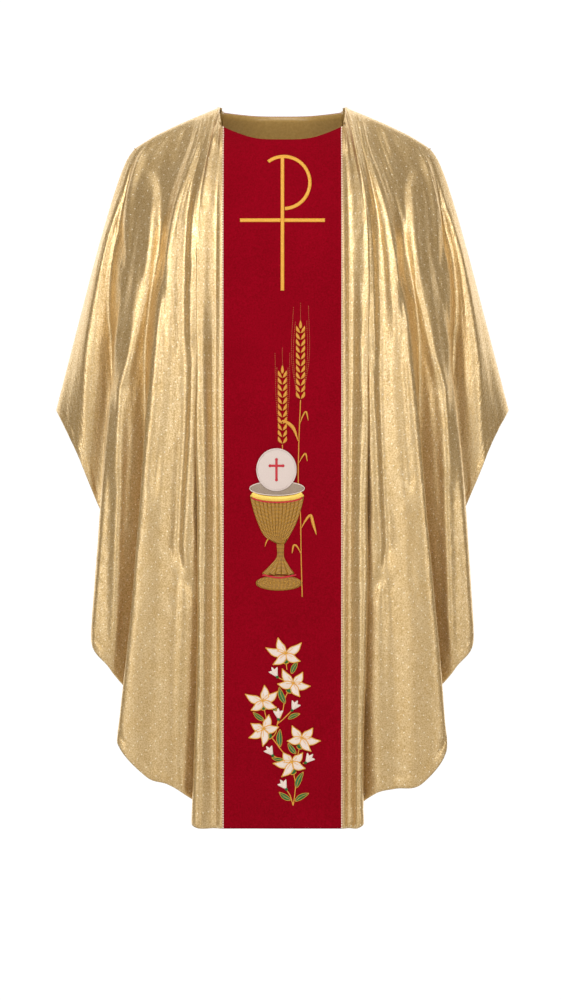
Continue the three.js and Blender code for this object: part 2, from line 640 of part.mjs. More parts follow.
place("chalice_rim_band", stitched(band(BAND_TOP - 1, bandFoot, 48, 47.5), 2), LOOKS.goldThread);
place("chalice_rim_line", stitched(bandLine, 2), LOOKS.redThread);
place("chalice_bowl", stitched(onCup(bowl), 1), LOOKS.oldGoldThread);
place("chalice_stem", stitched(onCup(cupStem), 1), LOOKS.oldGoldThread);
place("chalice_foot", stitched(flat(ellipse(CUP_X + 3.5, footZ, 41, 13.5)), 1), LOOKS.oldGoldThread);
place("chalice_foot_line", stitched(ribbon(footLine, even(BAND_LINE)), 2), LOOKS.redThread);
place("host", stitched(hostDisc, 2), LOOKS.whiteThread);
const CROSS = { top: 20, foot: -19, arm: 12.5, armZ: 6, half: 1.4 };
const crossSide = [
  [CROSS.half, CROSS.top],
  [CROSS.half, CROSS.armZ + CROSS.half],
  [CROSS.arm, CROSS.armZ + CROSS.half],
  [CROSS.arm, CROSS.armZ - CROSS.half],
  [CROSS.half, CROSS.armZ - CROSS.half],
  [CROSS.half, CROSS.foot],
];
const cross = [...crossSide, ...mirroredX(crossSide)].map(([x, z]) => [x + HOST.x, z + HOST.z]);
place("host_cross", stitched(flat(cross), 3), LOOKS.redThread);

// Lilies: each has five petals round its centre, counted from its calyx.
const PETALS = [-152, -100, -49, 60, 120]; // degrees from the calyx
const PETAL_LENGTHS = [29, 33, 30, 29, 32];
const LILIES = [
  { x: 6, z: -944, calyx: 270, flip: 1 },
  { x: 19, z: -997, calyx: 244, flip: -1 },
  { x: -35, z: -1029, calyx: 276, flip: 1 },
  { x: -35, z: -1080, calyx: 317, flip: 1 },
  { x: 34, z: -1094, calyx: 261, flip: -1 },
  { x: 17, z: -1137, calyx: 275, flip: 1 },
];
const BUDS = [
  { x: -16, z: -981, turn: 120 },
  { x: 24, z: -1039, turn: 60 },
  { x: -7, z: -1056, turn: 92 },
  { x: -24, z: -1119, turn: 125 },
  { x: 50, z: -1132, turn: 50 },
  { x: -1, z: -1181, turn: 122 },
];
const polar = (x, z, degrees, r) => {
  const turn = THREE.MathUtils.degToRad(degrees);
  return [x + r * Math.cos(turn), z + r * Math.sin(turn)];
};

// The outline of one petal, as degrees from its middle line and shares of its length.
const PETAL_OUTLINE = [[-21, 0.21], [-15, 0.55], [0, 1], [15, 0.55], [21, 0.21]];

function lily({ x, z, calyx, flip }) {
  const petals = PETALS.map((p, k) => ({ angle: calyx + flip * p, length: PETAL_LENGTHS[k] }));
  petals.sort((a, b) => a.angle - b.angle);
  return flat(
    petals.flatMap(({ angle, length }) => PETAL_OUTLINE.map(([a, r]) => polar(x, z, angle + a, r * length)))
  );
}

// A bud: three pointed petals on a round foot, as degrees from the way that it opens and radii.
const BUD_OUTLINE = [[-180, 7], [-100, 5], [-38, 12], [-14, 8], [0, 14], [14, 8], [38, 12], [100, 5]];
const bud = ({ x, z, turn }) => flat(BUD_OUTLINE.map(([a, r]) => polar(x, z, turn + a, r)));

LILIES.forEach((flower, k) => place(`lily_${k + 1}`, stitched(lily(flower), 1), LOOKS.whiteThread));
BUDS.forEach((flower, k) => place(`lily_bud_${k + 1}`, stitched(bud(flower), 1), LOOKS.whiteThread));

// One network of stems carries the flowers, the buds and the leaves. A branch starts at a point
// that the stem before it passes through, and so does a leaf, whose second point is its tip.
const ROOT = [19, -1216];
const FORK = [-18, -1096];
const HIGH_FORK = [-9, -1071];
const flower = (k) => [LILIES[k].x, LILIES[k].z];
const budPoint = (k) => [BUDS[k].x, BUDS[k].z];
const STEMS = [
  [ROOT, [22, -1195], [23, -1176], [19, -1155], flower(5)],
  [ROOT, [14, -1199], [7, -1192], budPoint(5)],
  [flower(5), [0, -1120], FORK, flower(3)],
  [flower(5), [-3, -1134], [-14, -1128], budPoint(3)],
  [flower(5), [28, -1118], [29, -1108], flower(4)],
  [flower(5), [36, -1141], [40, -1139], budPoint(4)],
  [FORK, [-11, -1085], HIGH_FORK, budPoint(2)],
  [HIGH_FORK, [2, -1062], [10, -1050], budPoint(1)],
  [HIGH_FORK, [0, -1050], [5, -1025], flower(1)],
  [flower(3), [-30, -1057], flower(2)],
  [flower(1), [5, -985], flower(0)],
  [flower(1), [-8, -994], budPoint(0)],
];
const LEAVES = [
  [[5, -985], [31, -963]],
  [[5, -1025], [-11, -1008]],
  [[-30, -1057], [-11, -1036]],
  [[-30, -1057], [-54, -1052]],
  [[2, -1062], [33, -1056]],
  [FORK, [7, -1093]],
  [[28, -1118], [8, -1106]],
  [[-3, -1134], [-17, -1148]],
  [[23, -1176], [42, -1160]],
  [[14, -1199], [-9, -1203]],
  [[22, -1195], [47, -1201]],
];
const LEAF_WIDTH = 8;
const CALYX = { radius: 5.5, reach: 12, sides: 10 }; // reach is from the flower's centre
const leafShape = (t) => LEAF_POINT + (LEAF_WIDTH - LEAF_POINT) * Math.sin(Math.PI * t);
const calyxOf = ({ x, z, calyx }) =>
  flat(ellipse(...polar(x, z, calyx, CALYX.reach), CALYX.radius, CALYX.radius, 0, 360, CALYX.sides));
const greenery = [
  ...STEMS.map(stem),
  ...LEAVES.map((path) => ribbon(curve(...path), leafShape)),
  ...LILIES.map(calyxOf),
];
place("lily_stems_and_leaves", stitched(joined(greenery), 0), LOOKS.greenThread);

export default chasuble;
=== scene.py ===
# %% [markdown]
# # A gothic chasuble
#
# The garment is a wide poncho of gold lame with a crimson orphrey, a straight strip let in from
# neckline to hem. It hangs from the wearer's shoulders, and its drape is what the eye reads first.
# Every sheet of cloth here is one function of two parameters: u runs across the cloth, v runs down
# it. The frame holds the same drape as plain facets, so each fine piece lands where its plain one is.

import bmesh
import bpy
import numpy as np
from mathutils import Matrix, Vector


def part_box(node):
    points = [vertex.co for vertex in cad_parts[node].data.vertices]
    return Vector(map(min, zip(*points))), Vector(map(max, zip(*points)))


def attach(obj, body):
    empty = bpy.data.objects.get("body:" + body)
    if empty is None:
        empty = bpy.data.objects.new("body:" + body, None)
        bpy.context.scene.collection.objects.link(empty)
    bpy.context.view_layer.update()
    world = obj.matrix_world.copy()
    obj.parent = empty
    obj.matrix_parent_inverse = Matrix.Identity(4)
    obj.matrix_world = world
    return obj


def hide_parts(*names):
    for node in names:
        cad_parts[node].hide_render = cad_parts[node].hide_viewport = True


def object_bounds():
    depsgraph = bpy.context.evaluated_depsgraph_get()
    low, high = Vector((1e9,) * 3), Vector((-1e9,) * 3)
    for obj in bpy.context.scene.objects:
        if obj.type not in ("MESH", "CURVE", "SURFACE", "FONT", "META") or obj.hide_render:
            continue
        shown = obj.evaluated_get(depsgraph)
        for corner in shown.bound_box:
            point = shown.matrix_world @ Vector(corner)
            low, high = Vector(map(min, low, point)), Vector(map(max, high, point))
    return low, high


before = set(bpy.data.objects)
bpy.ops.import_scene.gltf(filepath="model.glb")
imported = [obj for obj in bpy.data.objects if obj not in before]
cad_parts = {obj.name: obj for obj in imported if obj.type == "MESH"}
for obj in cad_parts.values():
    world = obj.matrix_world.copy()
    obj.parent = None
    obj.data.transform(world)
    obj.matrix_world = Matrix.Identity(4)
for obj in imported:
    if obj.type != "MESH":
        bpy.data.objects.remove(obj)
CAD_BOX = [list(corner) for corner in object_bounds()]
MM = 0.001
LOW, HIGH = (np.array(corner) for corner in CAD_BOX)
print("frame box in metres:", LOW.round(3), HIGH.round(3))

# %% [markdown]
# ## Studio
#
# The garment hangs above a pale floor in a white sweep. Metallic cloth shows what it mirrors, so the
# lights are large soft boxes near the camera, and the rest of the room is dim and warm: folds that face
# the lights shine and their flanks go brown. A lit wall behind catches the cloth's edges. It isn't
# seen itself, and the world is white only where it is looked at, so the garment can be seen from
# behind as well.

# %% Colours
def linear(hex_colour):
    """sRGB hex to linear RGBA: below 0.04045 divide by 12.92, above it ((c + 0.055) / 1.055) ** 2.4."""
    c = np.array([int(hex_colour[i : i + 2], 16) for i in (0, 2, 4)]) / 255
    c = np.where(c <= 0.04045, c / 12.92, ((c + 0.055) / 1.055) ** 2.4)
    return (*c.tolist(), 1.0)


def add(material, kind, links=(), **settings):
    """Adds one node. settings go to its properties, or to its inputs by name or by number as i0, i1.
    links are (input, output socket) pairs."""
    node = material.node_tree.nodes.new(kind)
    for key, value in settings.items():
        if hasattr(node, key):
            setattr(node, key, value)
        else:
            socket = node.inputs[int(key[1:])] if key[1:].isdigit() else node.inputs[key.replace("_", " ")]
            socket.default_value = value
    for name, output in links:
        material.node_tree.links.new(node.inputs[name], output)
    return node


def material(name, **settings):
    """A material with one Principled shader. settings are the shader's own sockets."""
    made = bpy.data.materials.new(name)
    made.use_nodes = True
    shader = made.node_tree.nodes["Principled BSDF"]
    for key, value in settings.items():
        shader.inputs[key.replace("_", " ")].default_value = value
    return made, shader


def connect(material, shader, **sockets):
    """Links output sockets to the shader's inputs, which are named as in material()."""
    for key, socket in sockets.items():
        material.node_tree.links.new(shader.inputs[key.replace("_", " ")], socket)


def noise(material, place, scale, detail=2.0, roughness=0.5):
    """Cloudy noise between 0 and 1."""
    settings = dict(Scale=scale, Detail=detail, Roughness=roughness)
    return add(material, "ShaderNodeTexNoise", [("Vector", place)], **settings).outputs["Fac"]


def two_colours(material, factor, dark, light, start=0.0, end=1.0):
    """A colour that goes from dark to light while the factor goes from start to end."""
    ramp = add(material, "ShaderNodeValToRGB", [("Fac", factor)])
    for element, place, colour in zip(ramp.color_ramp.elements, (start, end), (dark, light)):
        element.position, element.color = place, linear(colour)
    return ramp.outputs["Color"]


def mixed(material, factor, colour, second, blend="MIX"):
    """A colour mixed with a second, fixed one. Colours are the node's inputs 6 and 7 and output 2."""
    links = [("Factor", factor), (6, colour)]
    mix = add(material, "ShaderNodeMix", links, data_type="RGBA", blend_type=blend)
    mix.inputs[7].default_value = linear(second)
    return mix.outputs[2]


def bump(material, height, strength, distance, under=()):
    """A normal bent by a height. under holds the link to another bump below it, if there is one."""
    links = [("Height", height), *under]
    return add(material, "ShaderNodeBump", links, Strength=strength, Distance=distance).outputs["Normal"]

# %% Mesh helpers
def quads(index):
    """The quads between neighbouring rows and columns of a grid of vertex numbers."""
    a, b, c, d = index[:-1, :-1], index[:-1, 1:], index[1:, 1:], index[1:, :-1]
    return np.stack([a, b, c, d], -1).reshape(-1, 4)


def outwards(points, faces):
    """Turns the faces round where the signed volume, the sum of a . (b x c) / 6, is negative."""
    a, b, c, d = (points[faces[:, k]] for k in range(4))
    volume = np.einsum("ij,ij->i", a, np.cross(b, c) + np.cross(c, d)).sum()
    return faces if volume > 0 else faces[:, ::-1]


def shell(outer, inner, uv):
    """A closed part between two grids of points, with a rim of quads round their edges."""
    index = np.arange(outer.shape[0] * outer.shape[1]).reshape(outer.shape[:2])
    count = index.size
    ring = np.concatenate([index[0, :-1], index[:-1, -1], index[-1, :0:-1], index[:0:-1, 0]])
    after = np.roll(ring, -1)
    rim = np.stack([ring, ring + count, after + count, after], -1)
    points = np.concatenate([outer.reshape(-1, 3), inner.reshape(-1, 3)])
    faces = np.concatenate([quads(index), quads(index)[:, ::-1] + count, rim])
    flat = uv.reshape(-1, 2)
    return points, outwards(points, faces), np.concatenate([flat, flat])


def tube(rings, uv):
    """A closed part through rings of points: rings[k, m] is point m of ring k. Each end ring is
    drawn in to its own middle, so the tube ends in two poles."""
    middles = np.repeat(rings[[0, -1]].mean(1, keepdims=True), rings.shape[1], 1)
    rings = np.concatenate([middles[:1], rings, middles[1:]])
    uv = np.concatenate([uv[:1], uv, uv[-1:]])
    index = np.arange(rings.shape[0] * rings.shape[1]).reshape(rings.shape[:2])
    faces = quads(np.concatenate([index, index[:, :1]], 1))
    points = rings.reshape(-1, 3)
    return points, outwards(points, faces), uv.reshape(-1, 2)


def piece(name, parts, finish, replaces=()):
    """One object from several parts, smooth shaded, with its UV map, riding on the frame's body."""
    starts = np.cumsum([0] + [len(p[0]) for p in parts])
    points = np.concatenate([p[0] for p in parts]).astype(np.float32)
    faces = np.concatenate([p[1] + s for p, s in zip(parts, starts)])
    uv = np.concatenate([p[2] for p in parts]).astype(np.float32)
    mesh = bpy.data.meshes.new(name)
    mesh.vertices.add(len(points))
    mesh.vertices.foreach_set("co", points.ravel())
    mesh.loops.add(faces.size)
    mesh.loops.foreach_set("vertex_index", faces.ravel().astype(np.int32))
    mesh.polygons.add(len(faces))
    mesh.polygons.foreach_set("loop_start", np.arange(0, faces.size, 4, dtype=np.int32))
    mesh.update(calc_edges=True)
    mesh.uv_layers.new(name="cloth").data.foreach_set("uv", uv[faces.ravel()].ravel())
    merged = bmesh.new()
    merged.from_mesh(mesh)
    bmesh.ops.remove_doubles(merged, verts=merged.verts, dist=1e-7)
    merged.to_mesh(mesh)
    merged.free()
    mesh.shade_smooth()
    mesh.materials.append(finish)
    made = bpy.data.objects.new(name, mesh)
    bpy.context.collection.objects.link(made)
    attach(made, "root")
    if replaces:
        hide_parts(*replaces)
    print(f"{name}: {len(mesh.polygons)} faces")
    return made

# %% Wall, floor, lights and camera
FLOOR_Z, WALL_Y = -1.9, 1.7


def slab(name, corners, finish):
    """One flat quad of the studio."""
    mesh = bpy.data.meshes.new(name)
    mesh.from_pydata(corners, [], [(0, 1, 2, 3)])
    mesh.materials.append(finish)
    made = bpy.data.objects.new(name, mesh)
    bpy.context.collection.objects.link(made)
    return made


white = linear("FFFFFF")
glow = dict(Emission_Color=white, Emission_Strength=1.05)
lit_paper, _ = material("white paper, lit from below", Base_Color=white, Roughness=0.9, **glow)
grey_floor, _ = material("pale grey studio floor", Base_Color=linear("DEDBD6"), Roughness=0.8)
wall = slab("wall", [(-5, WALL_Y, FLOOR_Z), (5, WALL_Y, FLOOR_Z), (5, WALL_Y, 3), (-5, WALL_Y, 3)], lit_paper)
wall.visible_camera = False  # it lights the cloth's edges, and stays out of the way of a view from behind
slab("floor", [(-6, -6, FLOOR_Z), (6, -6, FLOOR_Z), (6, WALL_Y, FLOOR_Z), (-6, WALL_Y, FLOOR_Z)], grey_floor)

scene = bpy.context.scene
scene.view_settings.view_transform = "Standard"
world = bpy.data.worlds.new("studio room")
world.use_nodes = True
warm_room = world.node_tree.nodes["Background"]
warm_room.inputs["Color"].default_value = linear("FFE4BA")
warm_room.inputs["Strength"].default_value = 0.25
white_sweep = add(world, "ShaderNodeBackground", Color=white, Strength=1.05)
looked_at = add(world, "ShaderNodeLightPath").outputs["Is Camera Ray"]
links = [(0, looked_at), (1, warm_room.outputs[0]), (2, white_sweep.outputs[0])]
room = add(world, "ShaderNodeMixShader", links)
world.node_tree.links.new(world.node_tree.nodes["World Output"].inputs["Surface"], room.outputs[0])
scene.world = world


LAMP_COLOUR = "FFFCF7"


def softbox(name, place, target, size, power):
    """A rectangular area light that faces a target."""
    light = bpy.data.lights.new(name, "AREA")
    light.shape, light.size, light.size_y = "RECTANGLE", size[0], size[1]
    light.energy, light.color = power, linear(LAMP_COLOUR)[:3]
    lamp = bpy.data.objects.new(name, light)
    lamp.location = place
    aim = np.array(target) - np.array(place)
    downwards = np.arctan2(np.hypot(aim[0], aim[1]), -aim[2])
    lamp.rotation_euler = (downwards, 0, np.arctan2(aim[1], aim[0]) - np.pi / 2)
    bpy.context.collection.objects.link(lamp)


softbox("high key", (-0.3, -4.0, 1.5), (0, 0, -0.4), (2.2, 1.5), 80)
softbox("left fill", (-2.1, -3.8, 0.0), (0, 0, -0.45), (0.9, 2.0), 34)
softbox("right fill", (2.3, -3.8, 0.0), (0, 0, -0.45), (0.8, 2.0), 30)
softbox("overhead", (0, -0.6, 2.4), (0, 0, -0.4), (2.4, 1.2), 22)

VIEW_DISTANCE = 9.0  # from the camera to the front of the garment
VIEW_HEIGHT = 1.768  # how much height the view takes in at that distance
camera_data = bpy.data.cameras.new("camera")
camera_data.sensor_fit = "VERTICAL"
camera_data.sensor_height = 36.0
camera_data.lens = camera_data.sensor_height * VIEW_DISTANCE / VIEW_HEIGHT
camera = bpy.data.objects.new("camera", camera_data)
AIM = np.array([-0.0025, -0.14, -0.675])
TILT = np.radians(3.0)
camera.location = AIM + VIEW_DISTANCE * np.array([0, -np.cos(TILT), np.sin(TILT)])
camera.rotation_euler = (np.pi / 2 - TILT, 0, 0)
bpy.context.collection.objects.link(camera)
scene.camera = camera

# %% [markdown]
# ## The drape
#
# A draped cloth is ruled by a few lines: the crests and valleys of its folds, which all start at
# the neckline or the shoulder seam and run down to the hem. Each line is written as a few points,
# and a Catmull-Rom spline carries the cloth smoothly from point to point, both down a line and
# across from line to line. The points are the same as the frame's, so the finish fits it.

# %% The lines of the net
NECK_HALF_WIDTH, NECK_SIDE_Z = 112, 21
NECKLINES = {"front": (95, -38), "back": (75, 6)}  # depth forwards or back, and height there
NECK_TURN = 4.5  # how late the neckline turns up beside the neck
SHOULDER_X, SHOULDER_SLOPE, SHOULDER_ROUND = 264, 0.41, 12
ORPHREY_HALF_WIDTH = 105
HEM_Z = -1257
HANG_DEPTH, HANG_LEAN = 136, 0.0158
FLATNESS = {"front": 1.0, "back": 0.84}
STATIONS = np.array([0, 0.05, 0.17, 0.38, 0.68, 1])  # heights down a line, as shares of its fall

ORPHREY_LINES = [  # x, and the depth at the first two stations
    (0.0, (120, 139.5)),
    (0.5 * ORPHREY_HALF_WIDTH, (113, 138.5)),
    (ORPHREY_HALF_WIDTH, (90, 134)),
]
SIDE_LINES = [  # start, how far out at the stations between, depths, then the hem: out and rise above it
    (0.86, (4.5, 9, 13, 10), (84, 127, 138, 142, 148), (13, 0), (8, 0)),  # hollow beside the seam
    (0.93, (7.7, 26, 28, 27), (81, 130, 151, 156, 159), (38, 1), (22, 1)),  # inner crest
    (0.965, (13.2, 35, 39, 38), (78, 131, 151, 147, 148), (48, 11), (31, 11)),  # its outer side
    (1.0, (16, 40, 37, 16), (77, 129, 146, 120, 116), (26, 29), (17, 29)),  # inner valley
    (1.05, (14, 40, 43, 48), (74, 127, 148, 140, 134), (58, 61), (46, 60)),  # inner return
    (1.1, (13, 43, 51, 63), (70, 119, 139, 138, 136), (78, 77), (74, 69)),  # shallow dip
    (1.15, (10, 47, 75, 91), (68, 123, 147, 149, 144), (108, 92), (112, 78)),  # broad crest
    (1.21, (9, 50, 86, 115), (62, 121, 141, 143, 136), (147, 151), (149, 142)),  # middle crest
    (1.31, (11, 47, 82, 80), (50, 98, 108, 99, 92), (103, 212), (103, 212)),  # middle valley
    (1.47, (13, 45, 81, 107), (42, 92, 113, 114, 106), (123, 279), (123, 279)),  # middle return
    (1.72, (24, 49, 71, 95), (27, 62, 90, 98, 94), (117, 334), (117, 334)),  # outer crest
    (1.83, (23, 45, 68, 58), (19, 39, 50, 49, 47), (61, 462), (61, 462)),  # outer valley
    (1.92, (18, 39, 73, 99), (12, 26, 44, 56, 58), (108, 645), (108, 645)),  # sleeve crest
    (2.0, (16, 37, 66, 103), (0, 0, 0, 0, 0), (142, 736), (142, 736)),  # sleeve edge
]  # the last pair is the hem on the wearer's left, which is on +X
SEAM_LINE = len(ORPHREY_LINES) - 1
EDGE_LINE = SEAM_LINE + len(SIDE_LINES)
NECK_LINE = SEAM_LINE + 1 + [line[0] for line in SIDE_LINES].index(1.0)
HEM = len(STATIONS) - 1
print("lines from the middle to the sleeve's edge:", EDGE_LINE + 1)


def top_point(s, face):
    """Where a line starts. From 0 to 1 it is on the neckline, x = W sin, depth = D cos, and the
    height rises by a share (c + c ** NECK_TURN) / 2, with c = 1 - cos; from 1 to 2 it is on the
    sloping shoulder seam."""
    if s > 1:
        x = NECK_HALF_WIDTH + (s - 1) * (SHOULDER_X - NECK_HALF_WIDTH)
        drop = SHOULDER_SLOPE * (x - NECK_HALF_WIDTH) + SHOULDER_ROUND * (s - 1) ** 4
        return np.array([x, 0, NECK_SIDE_Z - drop])
    turn = s * np.pi / 2
    depth, low = NECKLINES[face]
    across = 1 - np.cos(turn)
    rise = (across + across**NECK_TURN) / 2
    return np.array([NECK_HALF_WIDTH * np.sin(turn), depth * np.cos(turn), low + (NECK_SIDE_Z - low) * rise])


def control_lines(face, side):
    """The net's points in metres, [line, station, xyz], as they lie on +X: each height is a share of
    the fall from the line's top to its hem."""
    forwards = -1 if face == "front" else 1
    rows = []
    for x, chest in ORPHREY_LINES:
        top = top_point(np.arcsin(x / NECK_HALF_WIDTH) * 2 / np.pi, face)
        z = top[2] + (HEM_Z - top[2]) * STATIONS[1:]
        depth = HANG_DEPTH - HANG_LEAN * z
        depth[:2] = chest
        rows.append((top, np.full(HEM, x), depth, z))
    for start, out, depth, right_hem, left_hem in SIDE_LINES:
        top = top_point(start, face)
        hem_out, rise = left_hem if side == "left" else right_hem
        z = top[2] + (HEM_Z + rise - top[2]) * STATIONS[1:]
        rows.append((top, top[0] + np.array([*out, hem_out]), np.array(depth), z))
    net = np.zeros((len(rows), HEM + 1, 3))
    for line, (top, x, depth, z) in zip(net, rows):
        line[0] = top
        line[1:] = np.stack([x, depth * FLATNESS[face], z], -1)
    net[..., 1] *= forwards
    return net * MM


OTHER = {"front": "back", "back": "front"}


def side_net(face, side):
    """The net of one side with what a spline needs past its borders: the other face past the
    sleeve's edge and above the shoulder seam, and a repeat of the hem's points below it."""
    own, other = control_lines(face, side), control_lines(OTHER[face], side)
    grown = []
    for net, opposite in ((own, other), (other, own)):
        above = 2 * net[:, :1] - net[:, 1:2]
        above[NECK_LINE:] = opposite[NECK_LINE:, 1:2]
        grown.append(np.concatenate([above, net, net[:, -1:], net[:, -1:]], 1))
    return np.concatenate([grown[0], grown[1][-2:-4:-1]])


def whole_net(face):
    """Both sides: the wearer's right is the left mirrored to -X, but for its own hem."""
    right = side_net(face, "right")[:0:-1] * [-1, 1, 1]
    return np.concatenate([right, side_net(face, "left")])


NETS = {face: whole_net(face) for face in ("front", "back")}
FIRST_LINE = -(EDGE_LINE + 2)


def weights(t, first, count):
    """Catmull-Rom weights of each control value at each t, for f past the knot below it:
    (-f + 2f2 - f3, 2 - 5f2 + 3f3, f + 4f2 - 3f3, -f2 + f3) / 2."""
    t = np.atleast_1d(t).astype(float)
    knot = np.clip(np.floor(t), first + 1, first + count - 3).astype(int)
    f = t - knot
    low = [-f + 2 * f**2 - f**3, 2 - 5 * f**2 + 3 * f**3]
    near = np.stack([*low, f + 4 * f**2 - 3 * f**3, f**3 - f**2], -1) / 2
    table = np.zeros((len(t), count))
    table[np.arange(len(t))[:, None], (knot - first - 1)[:, None] + np.arange(4)] = near
    return table


def drape(face, u, v):
    """Points [u, v, xyz] of the smooth drape, in metres."""
    net = NETS[face]
    across = weights(u, FIRST_LINE, net.shape[0])
    down = weights(v, -1, net.shape[1])
    return np.einsum("ul,vs,lsk->uvk", across, down, net, optimize=True)


def normals(grid, face):
    """Outward unit normals of a grid: across x down, which points forwards on the front."""
    across, down = np.gradient(grid, axis=0), np.gradient(grid, axis=1)
    out = np.cross(down, across)
    out /= np.linalg.norm(out, axis=-1, keepdims=True)
    return out if face == "front" else -out


def even_across(start, end, count):
    """Values of u from start to end that are evenly spaced on the cloth."""
    u = np.linspace(start, end, 40 * int(end - start) + 1)
    spacing = np.linalg.norm(np.diff(drape("front", u, np.linspace(1, HEM, 7)), axis=0), axis=-1).mean(1)
    length = np.concatenate([[0], np.cumsum(spacing)])
    return np.interp(np.linspace(0, length[-1], count), length, u)


ROWS = 232
v_dense = np.linspace(0, HEM, 501)
PACE_LINES = [SEAM_LINE, 9, 14]  # rows are even down the mean of the seam, the folds and the sleeve
v_steps = np.linalg.norm(np.diff(drape("front", PACE_LINES, v_dense), axis=1), axis=-1).mean(0)
v_length = np.concatenate([[0], np.cumsum(v_steps)])
V = np.interp(np.linspace(0, v_length[-1], ROWS), v_length, v_dense)  # evenly spaced rows
print("rows of cloth:", ROWS, "about", round(v_length[-1] / ROWS / MM, 1), "mm apart")

# %% [markdown]
# ## What a smooth surface lacks
#
# Real lame is foil-thin and a little stiff: between the big folds it keeps long soft streaks that
# run with them, small dents, and puckers where the hem is stitched. These are a sum of cosine waves
# that are long down the cloth and short across it, so they fan out from the shoulder with the
# folds. A few small folds, too narrow for the frame's facets, are each a ridge along a line. All of
# it fades to nothing at the seams, so that neighbouring pieces still meet.

# %% Streaks, dents and hem
def waves(across, along, seed, widths, lengths, count):
    """A smooth random field, mostly between -1 and 1: the sum of cosine waves over the root of their
    count. Their wavelengths lie in the two ranges, in metres, and all of it is drawn from the seed."""
    random = np.random.default_rng(seed)
    total = 0
    for _ in range(count):
        width, length = random.uniform(*widths), random.uniform(*lengths)
        slant = random.choice([-1, 1])
        phase = random.uniform(0, 2 * np.pi)
        total = total + np.cos(2 * np.pi * (across / width + slant * along / length) + phase)
    return total / np.sqrt(count)


def fade(distance, width):
    """0 at a distance of 0, 1 from the width on, with a smooth step 3t2 - 2t3 between."""
    t = np.clip(distance / width, 0, 1)
    return t * t * (3 - 2 * t)


def lengths(grid, axis):
    """Distance along the cloth from the grid's first row or column."""
    step = np.linalg.norm(np.diff(grid, axis=axis), axis=-1)
    zero = np.zeros_like(np.take(step, [0], axis))
    return np.concatenate([zero, np.cumsum(step, axis)], axis)


HEM_DEPTH = 0.020  # the turned hem, from edge to stitching
HEM_STEP = 0.0004  # how far the turned cloth stands off
GROOVE_DEPTH, GROOVE_WIDTH = 0.0006, 0.0014  # of the line of stitching
PUCKER_HEIGHT, PUCKER_REACH = 0.0007, 0.013


def hem_relief(above_hem, across, seed):
    """The stitched groove of a hem and the puckers along it."""
    from_stitches = above_hem - HEM_DEPTH
    groove = -GROOVE_DEPTH * np.exp(-((from_stitches / GROOVE_WIDTH) ** 2))
    near = np.exp(-((from_stitches / PUCKER_REACH) ** 2))
    pucker = waves(across, above_hem, seed, (0.014, 0.034), (0.3, 0.6), 10)
    return groove + PUCKER_HEIGHT * near * pucker + HEM_STEP * (above_hem < HEM_DEPTH)


FOLDS = [  # height and half width in mm, and the line down the cloth as [distance from the middle, height]
    (5.0, 9, [(226, -120), (233, -173), (240, -300), (262, -400), (285, -480), (292, -700), (300, -940)]),
    (4.0, 8, [(256, -62), (268, -136), (275, -210), (291, -359), (300, -472), (319, -675), (337, -923)]),
    (-3.5, 9, [(223, -99), (215, -250), (208, -435), (213, -520), (226, -660)]),
    (-3.5, 8, [(292, -173), (280, -286), (305, -400), (298, -507)]),
    (-3.0, 8, [(160, -400), (168, -460), (182, -675), (187, -756), (164, -842)]),
    (2.5, 8, [(150, -480), (160, -690), (146, -860), (142, -1020)]),
    (-2.5, 12, [(212, -90), (208, -127), (210, -170)]),
    (4.0, 12, [(244, -110), (252, -200), (262, -300), (278, -420), (294, -560), (300, -640)]),
]
FOLD_END = 60  # over how much height a fold rises from nothing at each end


def small_folds(grid):
    """How far the small folds push the cloth out, in metres, at each point of the drape: each is
    h exp(-(d / w) ** 2) across its line, and both sides have the same."""
    x, z = np.abs(grid[..., 0]) / MM, grid[..., 2] / MM
    total = 0
    for height, width, line in FOLDS:
        line = np.array(line, float)
        across = x - np.interp(-z, -line[:, 1], line[:, 0])
        ends = fade(line[0, 1] + FOLD_END / 2 - z, FOLD_END) * fade(z - line[-1, 1] + FOLD_END / 2, FOLD_END)
        total = total + height * MM * ends * np.exp(-((across / width) ** 2))
    return total


def lame_relief(grid, s, t, seed):
    """How far the cloth stands off the smooth drape, in metres."""
    column = s[:, s.shape[1] // 2][:, None]
    above_hem = t[:, -1:] - t
    folds = 0.0016 * waves(column, t, seed, (0.09, 0.2), (0.5, 1.4), 12)
    streaks = 0.00022 * waves(column, t, seed + 3, (0.018, 0.05), (0.12, 0.5), 30)
    dents = 0.00014 * waves(s, t, seed + 1, (0.012, 0.04), (0.02, 0.09), 30)
    free = fade(s, 0.03) * fade(s.max(0) - s, 0.05) * fade(t, 0.06)
    return free * (folds + small_folds(grid) + streaks + dents + hem_relief(above_hem, column, seed + 2))


def cloth_grid(face, u, relief, seed):
    """A sheet's outer points, its normals and its UV in metres along the cloth. Across a panel the
    distance is measured from the orphrey's seam, on -X as well."""
    grid = drape(face, u, V)
    s, t = lengths(grid, 0), lengths(grid, 1)
    if u[-1] < 0:
        s = s[-1:] - s
    grid = grid + normals(grid, face) * relief(grid, s, t, seed)[..., None]
    return grid, normals(grid, face), np.stack([s, t], -1)

# %% [markdown]
# ## Gold lame
#
# Lame is a woven cloth with a film of metal on it. The film mirrors the room softly, breaks into
# a fine grain because every thread tilts a little, and here carries small pale woven dots in slanting
# rows, which are bare thread and less metallic. So the shader is a rough metal whose bump is a 2 mm
# grain, and the dots are drawn from the cloth's own UV map, which is in metres, so they bend with the
# folds. The same grain also lightens and darkens the base colour, a painted glint of the tilting threads.
# A real thread is 0.2 mm, too fine to show here, so the grain is drawn as coarse as it needs to be seen.

# %% Lame material
DOT_ACROSS, DOT_SLANT, DOT_REPEAT, DOT_RADIUS = 0.010, 0.008, 0.031, 0.0011
DOT_EDGE = 0.35  # how far a dot's soft edge reaches to each side, as a share of its radius

lame, shader = material("gold lame, woven and foiled", Specular_IOR_Level=0.5)


